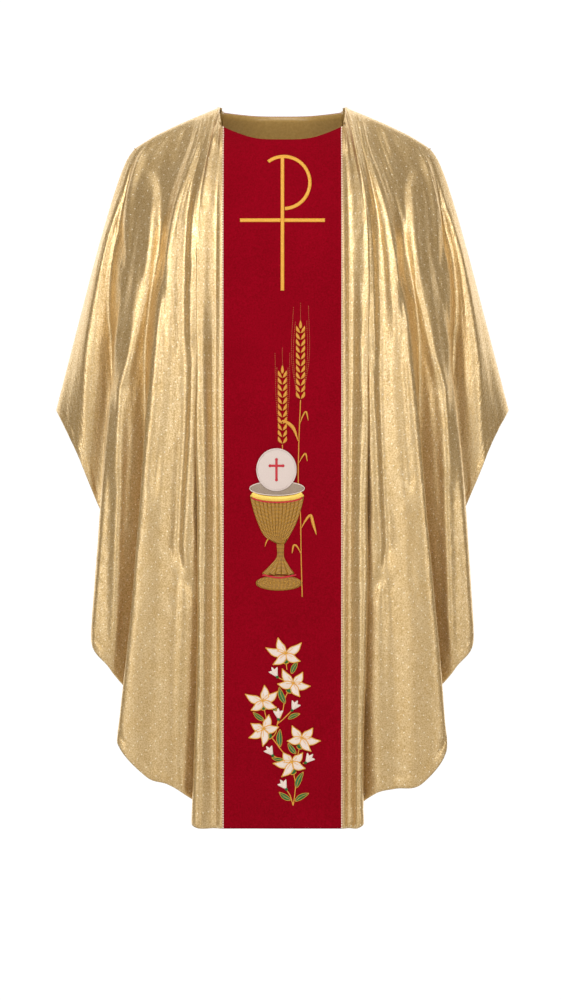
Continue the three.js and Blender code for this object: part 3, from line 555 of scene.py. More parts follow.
def vector(operation, *inputs, output="Vector"):
    """One step of vector arithmetic on the cloth's coordinates. A tuple is a constant."""
    links = [(k, value) for k, value in enumerate(inputs) if not isinstance(value, tuple)]
    constants = {f"i{k}": value for k, value in enumerate(inputs) if isinstance(value, tuple)}
    return add(lame, "ShaderNodeVectorMath", links, operation=operation, **constants).outputs[output]


def to_range(value, **settings):
    """The value mapped from one range to another."""
    return add(lame, "ShaderNodeMapRange", [("Value", value)], **settings).outputs["Result"]


cloth_uv = add(lame, "ShaderNodeUVMap", uv_map="cloth").outputs["UV"]
column_number = vector("DOT_PRODUCT", cloth_uv, (1 / DOT_ACROSS, 0, 0), output="Value")
row_slope = (-DOT_SLANT / DOT_ACROSS / DOT_REPEAT, 1 / DOT_REPEAT, 0)
row_number = vector("DOT_PRODUCT", cloth_uv, row_slope, output="Value")
numbers = add(lame, "ShaderNodeCombineXYZ", [("X", column_number), ("Y", row_number)]).outputs["Vector"]
offset = vector("SUBTRACT", vector("FRACTION", vector("ADD", numbers, (0.5, 0.5, 0))), (0.5, 0.5, 0))
dot_x = vector("DOT_PRODUCT", offset, (DOT_ACROSS, 0, 0), output="Value")
dot_y = vector("DOT_PRODUCT", offset, (DOT_SLANT, DOT_REPEAT, 0), output="Value")
from_dot = add(lame, "ShaderNodeCombineXYZ", [("X", dot_x), ("Y", dot_y)]).outputs["Vector"]
edge = dict(From_Min=DOT_RADIUS * (1 + DOT_EDGE), From_Max=DOT_RADIUS * (1 - DOT_EDGE))
dots = to_range(vector("LENGTH", from_dot, output="Value"), interpolation_type="SMOOTHSTEP", **edge)

place = add(lame, "ShaderNodeTexCoord").outputs["Object"]
grain = noise(lame, place, 420.0, roughness=0.6)
mottle = noise(lame, place, 38.0, detail=4.0, roughness=0.55)
crinkle = noise(lame, place, 90.0)
# The grain lightens and darkens the base colour too: painted glints of threads that tilt towards the light.
tint = two_colours(lame, grain, "C6AB78", "F5E4C2", 0.3, 0.7)
tint = mixed(lame, mottle, tint, "EDE2C8", "MULTIPLY")
connect(
    lame,
    shader,
    Base_Color=mixed(lame, dots, tint, "FFF7E4"),
    Metallic=to_range(dots, To_Min=0.8, To_Max=0.2),
    Roughness=to_range(grain, From_Min=0.3, From_Max=0.7, To_Min=0.47, To_Max=0.33),
    Normal=bump(lame, crinkle, 0.16, 0.0008, [("Normal", bump(lame, grain, 0.5, 0.0006))]),
)

# %% Gold panels
LAME_THICKNESS = 0.0009
COLUMNS = 196
PANEL_SEEDS = {"front_left": 11, "front_right": 16, "back_left": 37, "back_right": 42}
for panel, seed in PANEL_SEEDS.items():
    face, side = panel.split("_")
    u = even_across(SEAM_LINE, EDGE_LINE, COLUMNS)
    u = u if side == "left" else -u[::-1]
    outer, out, uv = cloth_grid(face, u, lame_relief, seed)
    sheet = [shell(outer, outer - LAME_THICKNESS * out, uv)]
    made = piece(f"{panel}_lame", sheet, lame, [f"{panel}_lame_panel"])

# %% [markdown]
# ## Crimson orphrey
#
# The orphrey is a matt cloth with a short nap, stiffened from behind, so it hangs almost flat with
# only a slow ripple. The nap scatters light at a glancing angle, which is the shader's sheen.

# %% Crimson material
sheen = dict(Sheen_Weight=0.04, Sheen_Roughness=0.45, Sheen_Tint=linear("E2405A"))
crimson, shader = material("crimson napped cloth", Roughness=0.92, Specular_IOR_Level=0.05, **sheen)
place = add(crimson, "ShaderNodeTexCoord").outputs["Object"]
nap = noise(crimson, place, 330.0, detail=4.0, roughness=0.7)
cloud = noise(crimson, place, 16.0, detail=3.0)
tint = two_colours(crimson, nap, "820214", "A00322", 0.3, 0.72)
tint = mixed(crimson, cloud, tint, "E6DADA", "MULTIPLY")
connect(crimson, shader, Base_Color=tint, Normal=bump(crimson, nap, 0.4, 0.0008))

# %% Orphreys
def orphrey_relief(_, s, t, seed):
    """A slow ripple and the hem's groove, gone at both seams."""
    above_hem = t[:, -1:] - t
    ripple = 0.00045 * waves(s, t, seed, (0.12, 0.3), (0.35, 0.9), 14)
    free = fade(s, 0.03) * fade(s.max(0) - s, 0.03) * fade(t, 0.05)
    return free * (ripple + 0.7 * hem_relief(above_hem, s, seed + 2))


ORPHREY_THICKNESS = 0.0011
orphrey_grids = {}
for face, seed in (("front", 71), ("back", 83)):
    u = np.linspace(-SEAM_LINE, SEAM_LINE, 81)
    outer, out, uv = cloth_grid(face, u, orphrey_relief, seed)
    orphrey_grids[face] = outer
    sheet = [shell(outer, outer - ORPHREY_THICKNESS * out, uv)]
    made = piece(f"{face}_orphrey_cloth", sheet, crimson, [f"{face}_orphrey"])

# %% [markdown]
# ## Piping, lining and what is hidden
#
# A pale twisted cord stands in each seam of the orphrey. Its section is two lobes that turn as they
# run along, which is what two twisted plies look like. Inside are the satin lining, the neck
# facings, the stiffening behind each orphrey and a stay tape along each shoulder seam.

# %% Cord material and pipings
cord, shader = material("pale twisted piping cord", Roughness=0.5, Metallic=0.15)
place = add(cord, "ShaderNodeTexCoord").outputs["Object"]
ply = dict(bands_direction="Z", Scale=70.0, Distortion=1.5)
lay = add(cord, "ShaderNodeTexWave", [("Vector", place)], **ply).outputs["Fac"]
connect(cord, shader, Base_Color=two_colours(cord, lay, "C38A78", "FFF6E8"))

CORD_RADIUS, CORD_TWIST = 0.00125, 0.006  # radius, and the length of one turn
CORD_SINK = 0.0001  # how deep it is sewn into the seam


def cord_part(path, normal, radius, twist):
    """A two-ply cord along a path: the radius is r (0.78 + 0.22 |cos(angle - turn)|), and the turn
    grows by half a circle each twist length."""
    step = np.linalg.norm(np.diff(path, axis=0), axis=-1)
    length = np.concatenate([[0], np.cumsum(step)])
    fine = np.arange(0, length[-1], twist / 6)
    path = np.stack([np.interp(fine, length, path[:, k]) for k in range(3)], -1)
    normal = np.stack([np.interp(fine, length, normal[:, k]) for k in range(3)], -1)
    tangent = np.gradient(path, axis=0)
    tangent /= np.linalg.norm(tangent, axis=-1, keepdims=True)
    side = np.cross(tangent, normal)
    side /= np.linalg.norm(side, axis=-1, keepdims=True)
    angle = np.linspace(0, 2 * np.pi, 12, endpoint=False)
    lobes = radius * (0.78 + 0.22 * np.abs(np.cos(angle[None] - np.pi * fine[:, None] / twist)))
    rings = path[:, None] + lobes[..., None] * (
        np.cos(angle)[None, :, None] * side[:, None] + np.sin(angle)[None, :, None] * normal[:, None]
    )
    uv = np.stack(np.broadcast_arrays(fine[:, None], angle[None] / (2 * np.pi)), -1)
    return tube(rings, uv)


for face in ("front", "back"):
    for side, sign in (("left", 1), ("right", -1)):
        grid = drape(face, [sign * SEAM_LINE - 0.02, sign * SEAM_LINE, sign * SEAM_LINE + 0.02], V)
        out = normals(grid, face)[1]
        path = grid[1] + (CORD_RADIUS - CORD_SINK) * out
        plies = [cord_part(path, out, CORD_RADIUS, CORD_TWIST)]
        piece(f"{face}_{side}_cord", plies, cord, [f"{face}_{side}_piping"])

# %% Lining and hidden layers
satin, shader = material("satin lining", Roughness=0.36, Specular_IOR_Level=0.6)
place = add(satin, "ShaderNodeTexCoord").outputs["Object"]
weave = noise(satin, place, 260.0, detail=3.0)
tint = two_colours(satin, weave, "A98645", "CFAF70")
connect(satin, shader, Base_Color=tint, Normal=bump(satin, weave, 0.2, 0.0005))

canvas, shader = material("woven stiffening", Base_Color=linear("E6E1D6"), Roughness=0.95)
place = add(canvas, "ShaderNodeTexCoord").outputs["Object"]
rows = dict(bands_direction="Z", Scale=160.0, Distortion=0.6)
weave = add(canvas, "ShaderNodeTexWave", [("Vector", place)], **rows).outputs["Fac"]
connect(canvas, shader, Normal=bump(canvas, weave, 0.4, 0.0005))

LAYER_2, LAYER_3 = 0.0020, 0.0036  # depth of the second and third layer under the face
HIDDEN_THICKNESS = 0.0006
LINING_RISE = 0.015
KEEP_OFF_SEAM = 0.0009


def under_layer(name, face, u, v, depth, finish, replaces, follows=False):
    """A layer at a depth under the face. It is kept clear of the plane of the shoulder seams, and if
    it follows the face, it has the same small folds."""
    grid = drape(face, u, v)
    if follows:
        grid = grid + normals(grid, face) * small_folds(grid)[..., None]
    out = normals(grid, face)
    forwards = -1 if face == "front" else 1
    skins = [grid - depth * out, grid - (depth + HIDDEN_THICKNESS) * out]
    for skin in skins:
        depth_there = np.maximum(skin[..., 1] * forwards, KEEP_OFF_SEAM)
        skin[..., 1] = depth_there * forwards
    uv = np.stack([lengths(grid, 0), lengths(grid, 1)], -1)
    return piece(name, [shell(*skins, uv)], finish, replaces)


half_lining = even_across(0, EDGE_LINE, 120)
u_lining = np.concatenate([-half_lining[:0:-1], half_lining])
v_lining = np.interp(np.linspace(0, v_length[-1] - LINING_RISE, 120), v_length, v_dense)
u_facing = np.linspace(-NECK_LINE + 1.5, NECK_LINE - 1.5, 90)
v_facing = np.linspace(0, 0.75, 14)
u_stiffening = np.linspace(-SEAM_LINE, SEAM_LINE, 41)
v_stiffening = np.interp(np.linspace(0.05, v_length[-1], 160), v_length, v_dense)
for face in ("front", "back"):
    made = under_layer(
        f"{face}_satin_lining", face, u_lining, v_lining, LAYER_3,
        satin, [f"{face}_lining"], follows=True,
    )
    made = under_layer(
        f"{face}_facing", face, u_facing, v_facing, LAYER_2,
        satin, [f"{face}_neck_facing"],
    )
    made = under_layer(
        f"{face}_stiffening", face, u_stiffening, v_stiffening, LAYER_2,
        canvas, [f"{face}_orphrey_stiffening"],
    )

for side, sign in (("left", 1), ("right", -1)):
    u = sign * np.linspace(NECK_LINE + 1, EDGE_LINE - 3, 60)
    tape_v = np.linspace(0, 0.1, 5)
    strip = np.concatenate([drape("front", u, tape_v)[:, ::-1], drape("back", u, tape_v)[:, 1:]], 1)
    out = normals(strip, "front")
    out *= np.sign(out[..., 2:3])  # upwards on both sides
    uv = np.stack([lengths(strip, 0), lengths(strip, 1)], -1)
    tape = [shell(strip - LAYER_2 * out, strip - (LAYER_2 + HIDDEN_THICKNESS) * out, uv)]
    made = piece(f"{side}_stay_tape", tape, canvas, [f"{side}_shoulder_stay_tape"])

# %% [markdown]
# ## Embroidery
#
# The motifs are machine satin stitch: threads laid side by side across each line or leaf, packed so
# that it swells in the middle. So every line and blade is a flattened tube whose height is a half
# ellipse across it, laid on the orphrey by looking up the cloth's depth at each x and z. The stitches
# themselves are bump stripes across the tube and colour stripes of painted highlight and shade, read from its
# UV map.

# %% Laying on the cloth
TABLE_Z = np.linspace(-1.25, -0.02, 700)


def depth_table(face):
    """The orphrey's y on a regular table of x and height, from its own columns."""
    grid = orphrey_grids[face]
    return np.stack([np.interp(-TABLE_Z, -column[:, 2], column[:, 1]) for column in grid])


DEPTHS = {face: depth_table(face) for face in ("front", "back")}


def lay_on(x, z, lift, face="front"):
    """Points in metres at x and z in millimetres, a lift in metres off the orphrey: the depth is
    interpolated linearly between the four nearest entries of the table."""
    forwards = -1 if face == "front" else 1
    x, z, lift = np.broadcast_arrays(np.asarray(x, float) * MM, np.asarray(z, float) * MM, lift)
    x = x * -forwards
    table = DEPTHS[face]
    last_column, last_row = table.shape[0] - 1, table.shape[1] - 1
    column = (x / (ORPHREY_HALF_WIDTH * MM) + 1) / 2 * last_column
    row = (z - TABLE_Z[0]) / (TABLE_Z[1] - TABLE_Z[0])
    column, row = np.clip(column, 0, last_column - 0.001), np.clip(row, 0, last_row - 0.001)
    i, j = column.astype(int), row.astype(int)
    f, g = column - i, row - j
    depth = (table[i, j] * (1 - f) + table[i + 1, j] * f) * (1 - g)
    depth = depth + (table[i, j + 1] * (1 - f) + table[i + 1, j + 1] * f) * g
    return np.stack([x, depth + forwards * lift, z], -1)


def smooth_path(points, step=1.2):
    """A Catmull-Rom curve through points [x, z], with a point about every step millimetres."""
    points = np.array(points, float)
    points = np.array([2 * points[0] - points[1], *points, 2 * points[-1] - points[-2]])
    t = np.linspace(0, len(points) - 3, 30 * (len(points) - 2))
    path = weights(t, -1, len(points)) @ points
    length = lengths(path[:, None], 0)[:, 0]
    even = np.linspace(0, length[-1], max(4, int(length[-1] / step) + 1))
    return np.stack([np.interp(even, length, path[:, k]) for k in range(2)], -1)


def sideways(path):
    """A path's unit vectors to its left."""
    tangent = np.gradient(path, axis=0)
    tangent /= np.maximum(np.linalg.norm(tangent, axis=-1, keepdims=True), 1e-9)
    return np.stack([-tangent[:, 1], tangent[:, 0]], -1)


def satin_line(path, width, height=0.0007, lift=0.0002, face="front", sides=10):
    """A closed flattened tube along a smooth path: across it the height is a half ellipse, and the
    underside stays at the lift. width is in millimetres, one value or one for each point."""
    path = np.asarray(path, float)
    half = np.broadcast_to(np.asarray(width, float) / 2, len(path))
    angle = np.linspace(0, 2 * np.pi, sides, endpoint=False)
    across = np.cos(angle)[None] * half[:, None]
    swell = np.minimum(1, half / half.max() + 0.25)
    up = height * np.clip(np.sin(angle), -0.12, 1)[None] * swell[:, None]
    xz = path[:, None] + across[..., None] * sideways(path)[:, None]
    rings = lay_on(xz[..., 0], xz[..., 1], lift + up, face)
    length = lengths(path[:, None], 0)[:, 0] * MM
    uv = np.stack([np.broadcast_to(length[:, None], across.shape), across * MM], -1)
    return tube(rings, uv)


def bend_path(base, tip, bend=0.0):
    """A path from base to tip whose middle stands off the straight line by a share of its length."""
    base, tip = np.array(base, float), np.array(tip, float)
    along = tip - base
    middle = (base + tip) / 2 + bend * np.array([-along[1], along[0]])
    return smooth_path([base, middle, tip], 1.0)


def blade_width(count, width, fullest=0.4, point=0.25, taper=0.85):
    """The width of a leaf or petal from base to tip: sin(pi t ** p) ** taper, widest at the share
    fullest. The greater the taper, the longer its points."""
    t = np.linspace(0, 1, count)
    power = np.log(0.5) / np.log(fullest)
    return point + (width - point) * np.sin(np.pi * t**power) ** taper


def blade(base, tip, width, bend=0.0, fullest=0.4, height=0.0010, lift=0.0004, taper=0.85):
    """A satin-stitched leaf, petal or grain."""
    path = bend_path(base, tip, bend)
    return satin_line(path, blade_width(len(path), width, fullest, taper=taper), height, lift, sides=16)


def blade_outline(base, tip, width, line, bend, fullest, height=0.0008, lift=0.0008, taper=0.85):
    """The two threads that edge a blade, from its base up to its tip."""
    path = bend_path(base, tip, bend)
    edge = blade_width(len(path), width, fullest, taper=taper)[:, None] / 2 * sideways(path)
    return [satin_line(path + way * edge, line, height, lift, sides=8) for way in (1, -1)]


def filled(outline, centre, height=0.0009, lift=0.0003, rings=14):
    """A raised fill inside a closed outline: rings shrink towards the centre, and the height is
    h (1 - r ** 6), so that it is flat with round edges. Its underside is the same, at the lift."""
    outline, centre = np.array(outline, float), np.array(centre, float)
    grow = np.linspace(0.02, 1, rings)
    r = np.concatenate([grow, grow[-2::-1]])
    up = np.concatenate([height * (1 - grow**6), np.full(rings - 1, -0.0001)])
    xz = centre + r[:, None, None] * (outline - centre)[None]
    points = lay_on(xz[..., 0], xz[..., 1], lift + up[:, None])
    return tube(points, (xz - centre) * MM)


def ring_outline(centre, half_width, half_height, count=72, start=0, end=360):
    """Points of an ellipse, in millimetres."""
    turn = np.radians(np.linspace(start, end, count, endpoint=end - start < 360))
    return np.stack([centre[0] + half_width * np.cos(turn), centre[1] + half_height * np.sin(turn)], -1)


def disc(centre, half_width, half_height, count=72, **settings):
    """A filled ellipse."""
    return filled(ring_outline(centre, half_width, half_height, count), centre, **settings)

# %% [markdown]
# ### Threads
#
# Rayon embroidery thread is glossy along its length. A stitch is 0.4 mm wide, so the stripes are drawn 1.1 mm
# apart to be seen; in the colour they are a painted highlight on each stitch and painted shade between
# stitches. One function makes every thread, because they differ only in colour, gloss and the pitch of their
# stitches. Each has a slot, which goes to every piece stitched with it.

# %% Thread materials
STITCH_PITCH = 0.0011
TATAMI_PITCH = 0.0024
WAVES_PER_METRE = 3.18  # of the wave texture, at a scale of 1


def thread(name, dark, light, gloss=0.38, metal=0.0, pitch=STITCH_PITCH, paleness=0.15):
    """Satin stitch: stripes across the tube, in bump and in colour, where flecks multiply them. In the colour
    the stripes are a painted highlight on each stitch and painted shade between stitches; it goes from dark
    to light with stripes * flecks + paleness."""
    made, shader = material(name, Roughness=gloss, Metallic=metal, Specular_IOR_Level=0.6)
    uv = add(made, "ShaderNodeUVMap", uv_map="cloth").outputs["UV"]
    rows = dict(bands_direction="X", Scale=1 / pitch / WAVES_PER_METRE, Distortion=0.8, Detail_Scale=2.0)
    stripes = add(made, "ShaderNodeTexWave", [("Vector", uv)], **rows).outputs["Fac"]
    links = [(0, stripes), (1, noise(made, uv, 700.0, detail=1.0))]
    # The stripes in this colour are a painted highlight on each stitch and painted shade between stitches;
    # the flecks are the thread's own random tone.
    stitch_light_and_flecks = add(made, "ShaderNodeMath", links, operation="MULTIPLY_ADD", i2=paleness).outputs["Value"]
    tint = two_colours(made, stitch_light_and_flecks, dark, light, 0.12, 0.55)
    connect(made, shader, Base_Color=tint, Normal=bump(made, stripes, 0.55, 0.0004))
    return made


def stitched(name, parts, finish, *replaces):
    """One piece of embroidery, in the slot of its thread."""
    return piece(name, parts, finish, replaces)


gold_thread = thread("gold rayon thread", "CE8420", "FFC94C", 0.36)
ear_thread = thread("antique gold rayon thread", "B5701C", "F2B640")
awn_thread = thread("single gold running stitch", "B0552C", "DE8A4C", 0.4, 0.1)
yellow_thread = thread("bright gold rayon thread", "DDA526", "FFEA7A", 0.34, 0.2, 0.0020)
bowl_thread = thread(
    "olive gold tatami stitch", "4E3204", "D8A02A", 0.45, pitch=TATAMI_PITCH, paleness=0.07
)
white_thread = thread("ivory rayon thread", "D8C2BE", "FBF4F0", 0.4)
host_thread = thread("white rayon fill", "D3C4C4", "E9DFDF", 0.45)
grey_thread = thread("grey brown fill", "6E5B50", "B5A597", 0.5, pitch=0.0020)
red_thread = thread("red rayon thread", "A80A22", "DE1D3C", 0.4)
green_thread = thread("leaf green rayon thread", "06481A", "107C30", 0.4)

# %% [markdown]
# ### Emblem
#
# A plain cross with a half-round bow at the top of its upright, in a 6.4 mm satin line.

# %% Emblem
ARM_Z, ARM_FROM, ARM_TO = -181, 3.2, 75
upright_low, upright_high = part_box("front_emblem_upright")
EMBLEM_TOP, EMBLEM_FOOT = upright_high.z / MM, upright_low.z / MM
EMBLEM_LINE = 6.4
BOW_RADIUS, BOW_X = 46, 2.5
BOW_Z = EMBLEM_TOP - BOW_RADIUS + 2.5
EMBLEM = {  # path and width of each line
    "upright": (smooth_path([(0, EMBLEM_TOP), (0, EMBLEM_FOOT)]), EMBLEM_LINE),
    "left_arm": (smooth_path([(ARM_FROM, ARM_Z), (ARM_TO, ARM_Z)]), EMBLEM_LINE),
    "right_arm": (smooth_path([(-ARM_TO, ARM_Z), (-ARM_FROM, ARM_Z)]), EMBLEM_LINE),
    "bow": (ring_outline((BOW_X, BOW_Z), BOW_RADIUS, BOW_RADIUS, 120, 127, -88), 0.95 * EMBLEM_LINE),
}
for face in ("front", "back"):
    for name, (path, width) in EMBLEM.items():
        line = satin_line(path, width, 0.0013, face=face, sides=16)
        stitched(f"{face}_stitched_{name}", [line], gold_thread, f"{face}_emblem_{name}")

# %% [markdown]
# ### Wheat
#
# An ear is eleven pairs of slim grains and one at the tip. Long awns are a single running stitch,
# so they show as dashes. The leaves are curled blades.

# %% Wheat
GRAIN_PAIRS, GRAIN_PITCH, GRAIN_REACH = 11, 11.6, 7.4
GRAIN_HEIGHT = 0.0012
EARS = {  # x, top, and the two long awns
    "tall": (32, -357, [(19.5, -334), (16, -420), (25.5, -490)], [(46, -332), (47.5, -420), (36.5, -490)]),
    "short": (0, -436, [(-13, -415), (-11.5, -490), (-6.5, -556)], [(13, -415), (12, -490), (5.5, -556)]),
}
AWN_INSET, AWN_DROP = 3.2, 26  # where a second awn starts beside each long one


def dashes(path, pitch=3.3, line=1.15):
    """A running stitch: one short blade each pitch."""
    path = smooth_path(path, pitch / 2)
    widths = [line * 0.5, line, line, line * 0.5]
    starts, ends = path[0:-1:2], path[1::2]
    return [satin_line(np.linspace(a, b, 4), widths, 0.0004, 0.0001, sides=6) for a, b in zip(starts, ends)]


def leaning_grain(x, z, way):
    """One grain of a pair that starts below z and leans out to one side."""
    base, tip = (x + way * 0.5, z - 10), (x + way * GRAIN_REACH, z + 3)
    return blade(base, tip, 5.4, bend=-way * 0.09, fullest=0.5, height=GRAIN_HEIGHT, taper=1.15)


for name, (x, top, left_awn, right_awn) in EARS.items():
    grains = [blade((x, top - 15), (x, top), 5.5, fullest=0.35, height=GRAIN_HEIGHT)]
    for k in range(GRAIN_PAIRS):
        grains += [leaning_grain(x, top - 13 - k * GRAIN_PITCH, way) for way in (1, -1)]
    stitched(f"{name}_ear_grains", grains, ear_thread, f"wheat_{name}_ear")
    awns = dashes([(x, top + 1), (x, top + 32)]) + dashes(left_awn) + dashes(right_awn)
    for (start, middle, end), inset in ((left_awn, AWN_INSET), (right_awn, -AWN_INSET)):
        awns += dashes([(start[0] + inset, start[1] - AWN_DROP), (middle[0] + inset, middle[1]), end])
    stitched(f"{name}_ear_awns", awns, awn_thread)

STALKS = {
    "tall": [(32, -498), (29, -575), (28, -642), (32, -705), (33, -770), (35, -846)],
    "short": [(0, -577), (1, -640), (1, -745), (1, -780)],
}
for name, path in STALKS.items():
    stalk = satin_line(smooth_path(path), 1.9, 0.0007, 0.0001)
    stitched(f"{name}_stalk", [stalk], ear_thread, f"wheat_{name}_stalk")

WHEAT_LEAVES = {  # width and path
    "upper": (2.8, [(30.5, -540), (37, -524), (42, -519), (45.5, -534)]),
    "large_left": (6.4, [(28, -571), (21, -551), (13, -541), (2, -535), (-3, -538)]),
    "middle": (2.8, [(29, -609), (36, -597), (41, -593), (44, -606)]),
    "large_right": (5.4, [(33, -725), (42, -709), (50, -702), (54, -715), (60, -736)]),
    "lower": (3.2, [(33, -770), (26, -757), (20, -755), (17, -769)]),
}
for name, (width, path) in WHEAT_LEAVES.items():
    path = smooth_path(path)
    leaf = satin_line(path, blade_width(len(path), width, 0.6, 1.0), 0.0009, 0.0012, sides=12)
    stitched(f"wheat_leaf_{name}_blade", [leaf], ear_thread, f"wheat_leaf_{name}")
stub = smooth_path([(-24, -742), (-28, -748), (-31, -757)])
stitched("wheat_short_tip", [satin_line(stub, blade_width(len(stub), 2.6, 0.3, 0.6))], ear_thread)

# %% [markdown]
# ### Chalice and host
#
# The cup is a tatami fill: rows of stitches that follow its sides. The rim is an ellipse seen from
# above, with a pale cord round it, a bright band and a red line below. The host is a white fill with a red
# cross with budded ends.

# %% Chalice
CUP_X, RIM_Z = -9.5, -654
RIM_HALF = (48.5, 12.5)
STEM_X, STEM_HALF = 6.5, 7  # the stem is stitched a little to one side of the bowl's middle
BOWL_FOOT_Z, FOOT_TOP_Z = -752, -806
ALMOST_ROUND = 359.9  # degrees: a ring's thread ends where it starts
FILL_HEIGHT, ROWS_LIFT = 0.0008, 0.0009


def outline_of(right, left):
    """A closed outline from its right and its left side, each as distances from the cup's axis."""
    right, left = smooth_path(right, 2.0), smooth_path(left, 2.0)[::-1] * [-1, 1]
    return np.concatenate([right, left]) + [CUP_X, 0]


def rim_curve(z, half):
    """The near half of the rim's ellipse, from left to right, moved to a height."""
    return ring_outline((CUP_X, z), half, RIM_HALF[1], 60, -162, -18)


def shares(count):
    """The middles of a number of rows, as shares of the half width, -1 to 1."""
    return (np.arange(count) + 0.5) / count * 2 - 1


def fluted(tops, feet, right, left):
    """Rows of stitches down between two sides, one flattened tube for each pair of heights."""
    right, left = smooth_path(right, 1.0), smooth_path(left, 1.0)
    parts = []
    for share, top, foot in zip(shares(len(tops)), tops, feet):
        z = np.linspace(top, foot, 90)
        to_right = np.interp(-z, -right[:, 1], right[:, 0])
        to_left = np.interp(-z, -left[:, 1], left[:, 0])
        half = (to_right + to_left) / 2
        path = np.stack([CUP_X + (to_right - to_left) / 2 + share * half, z], -1)
        parts.append(satin_line(path, np.maximum(2.1 * half / len(tops), 0.5), 0.0010, ROWS_LIFT, sides=8))
    return parts


RIM_UNDERSIDE = [(0, -676), (30, -674), (46, -669)]
BOWL_SIDE = [(47, -672), (42.5, -690), (34, -715), (22, -738)]
bowl_right = [*BOWL_SIDE, (STEM_HALF + STEM_X, BOWL_FOOT_Z)]
bowl_left = [*BOWL_SIDE, (STEM_HALF - STEM_X, BOWL_FOOT_Z)]
outline = outline_of(
    [*RIM_UNDERSIDE, *bowl_right, (STEM_X, -753)],
    [*RIM_UNDERSIDE, *bowl_left, (-STEM_X, -753)],
)
under_rim = RIM_Z - 10 - RIM_HALF[1] * np.sqrt(1 - 0.9 * shares(13) ** 2)  # rows follow the rim's near side
bowl = fluted(under_rim, BOWL_FOOT_Z + 9 * shares(13) ** 2, bowl_right, bowl_left)
stitched("cup_bowl", [filled(outline, (CUP_X, -705), FILL_HEIGHT), *bowl], bowl_thread, "chalice_bowl")

STEM_ROWS = 5
stem_right = [(12.5, -753), (12.5, -775), (21, -792), (30, FOOT_TOP_Z)]
stem_left = [(0.5, -753), (0.5, -775), (13, -792), (26, FOOT_TOP_Z)]
outline = outline_of([(STEM_X, -752.5), *stem_right, (4, -807)], [(-STEM_X, -752.5), *stem_left, (-4, -807)])
stem = fluted([-753] * STEM_ROWS, [FOOT_TOP_Z] * STEM_ROWS, stem_right, stem_left)
stitched("cup_stem", [filled(outline, (CUP_X + 5, -790), FILL_HEIGHT), *stem], bowl_thread, "chalice_stem")

FOOT = (CUP_X + 3.5, -821.5)
foot = [disc(FOOT, 41.5, 13.5, height=0.0010, lift=0.0006)]
for k in range(3):
    foot.append(satin_line(ring_outline(FOOT, 36 - 11 * k, 9.5 - 3 * k, 90, 0, 359), 4.2, 0.0009, 0.0014))
stitched("cup_foot", foot, bowl_thread, "chalice_foot")

mouth = disc((CUP_X, RIM_Z), *RIM_HALF, height=0.0007, lift=0.0012)
stitched("cup_mouth", [mouth], grey_thread, "chalice_mouth")
rim = ring_outline((CUP_X, RIM_Z), RIM_HALF[0] - 0.4, RIM_HALF[1] - 0.3, 140, 0, ALMOST_ROUND)
stitched("cup_rim_cord", [satin_line(rim, 1.8, 0.0010, 0.0016)], white_thread)
band = satin_line(rim_curve(RIM_Z - 6.0, 47.4), 9.4, 0.0014, 0.0014, sides=16)
stitched("cup_band", [band], yellow_thread, "chalice_rim_band")
red_line = satin_line(rim_curve(RIM_Z - 12.2, 47.0), 2.8, 0.0012, 0.0018)
stitched("cup_red_line", [red_line], red_thread, "chalice_rim_line")
foot_line = smooth_path([(CUP_X - 26, -807), (CUP_X + 4, -812), (CUP_X + 34, -807)])
stitched("cup_foot_line", [satin_line(foot_line, 3.2, 0.0012, 0.0020)], red_thread, "chalice_foot_line")

# %% Host
HOST_X, HOST_Z, HOST_RADIUS = -10.5, -621, 36
HOST = (HOST_X, HOST_Z)
host_edge = ring_outline(HOST, HOST_RADIUS - 1.6, HOST_RADIUS + 0.6, 180, 0, ALMOST_ROUND)
host = [disc(HOST, HOST_RADIUS - 1, HOST_RADIUS + 1.2, height=0.0009, lift=0.0030)]
host.append(satin_line(host_edge, 2.8, 0.0013, 0.0034))
stitched("host_disc", host, host_thread, "host")

CROSS_LINE, CROSS_LIFT = 4.2, 0.0040
CROSS_REACH, CROSS_ARM_Z, CROSS_ARM = 19, HOST_Z + 7, 11.5
cross_lines = [
    [(HOST_X, HOST_Z + CROSS_REACH), (HOST_X, HOST_Z - CROSS_REACH)],
    [(HOST_X - CROSS_ARM, CROSS_ARM_Z), (HOST_X + CROSS_ARM, CROSS_ARM_Z)],
]
cross = [satin_line(smooth_path(path), CROSS_LINE, 0.0010, CROSS_LIFT) for path in cross_lines]
for dx, z in ((0, HOST_Z + 18), (0, HOST_Z - 18), (-CROSS_ARM, CROSS_ARM_Z), (CROSS_ARM, CROSS_ARM_Z)):
    cross.append(disc((HOST_X + dx, z), 2.7, 2.7, 16, height=0.0013, lift=CROSS_LIFT, rings=5))
stitched("host_red_cross", cross, red_thread, "host_cross")

# %% [markdown]
# ### Lilies
#
# Each lily has five petals with gold edges: three behind and two in front. A green cup holds them.
# The buds are three narrow petals in a smaller cup. Leaves are green blades on gold stems.

# %% Lilies
LILIES = [  # centre, calyx, and the five petal tips: three behind, then two in front
    ((6, -946), (6, -957), ((-8, -918), (34, -927), (-30, -936)), ((-17, -966), (32, -960))),
    ((19, -999), (13, -1009), ((-0.5, -973), (36, -979), (50, -1004)), ((-9, -1000), (31, -1023))),
    ((-35, -1030), (-33.5, -1039), ((-32, -1002), (-8, -1013), (-66, -1018)), ((-56, -1047), (-10, -1042))),
    ((-33, -1079), (-24, -1090), ((-24, -1054), (-56, -1070), (-60, -1096)), ((-35, -1111), (-6, -1076))),
    ((34, -1096), (31.5, -1108), ((17, -1074), (54, -1078), (68, -1101)), ((8, -1101), (51, -1120))),
    ((17, -1138), (18, -1153), ((1, -1121), (36, -1122), (-17, -1141)), ((-1.6, -1165), (41, -1150))),
]
PETAL_WIDTH = 14.0
VEIN = 0.45  # a vein's length, as a share of the petal's
BACK_LIFT, FRONT_LIFT = 0.0008, 0.0018


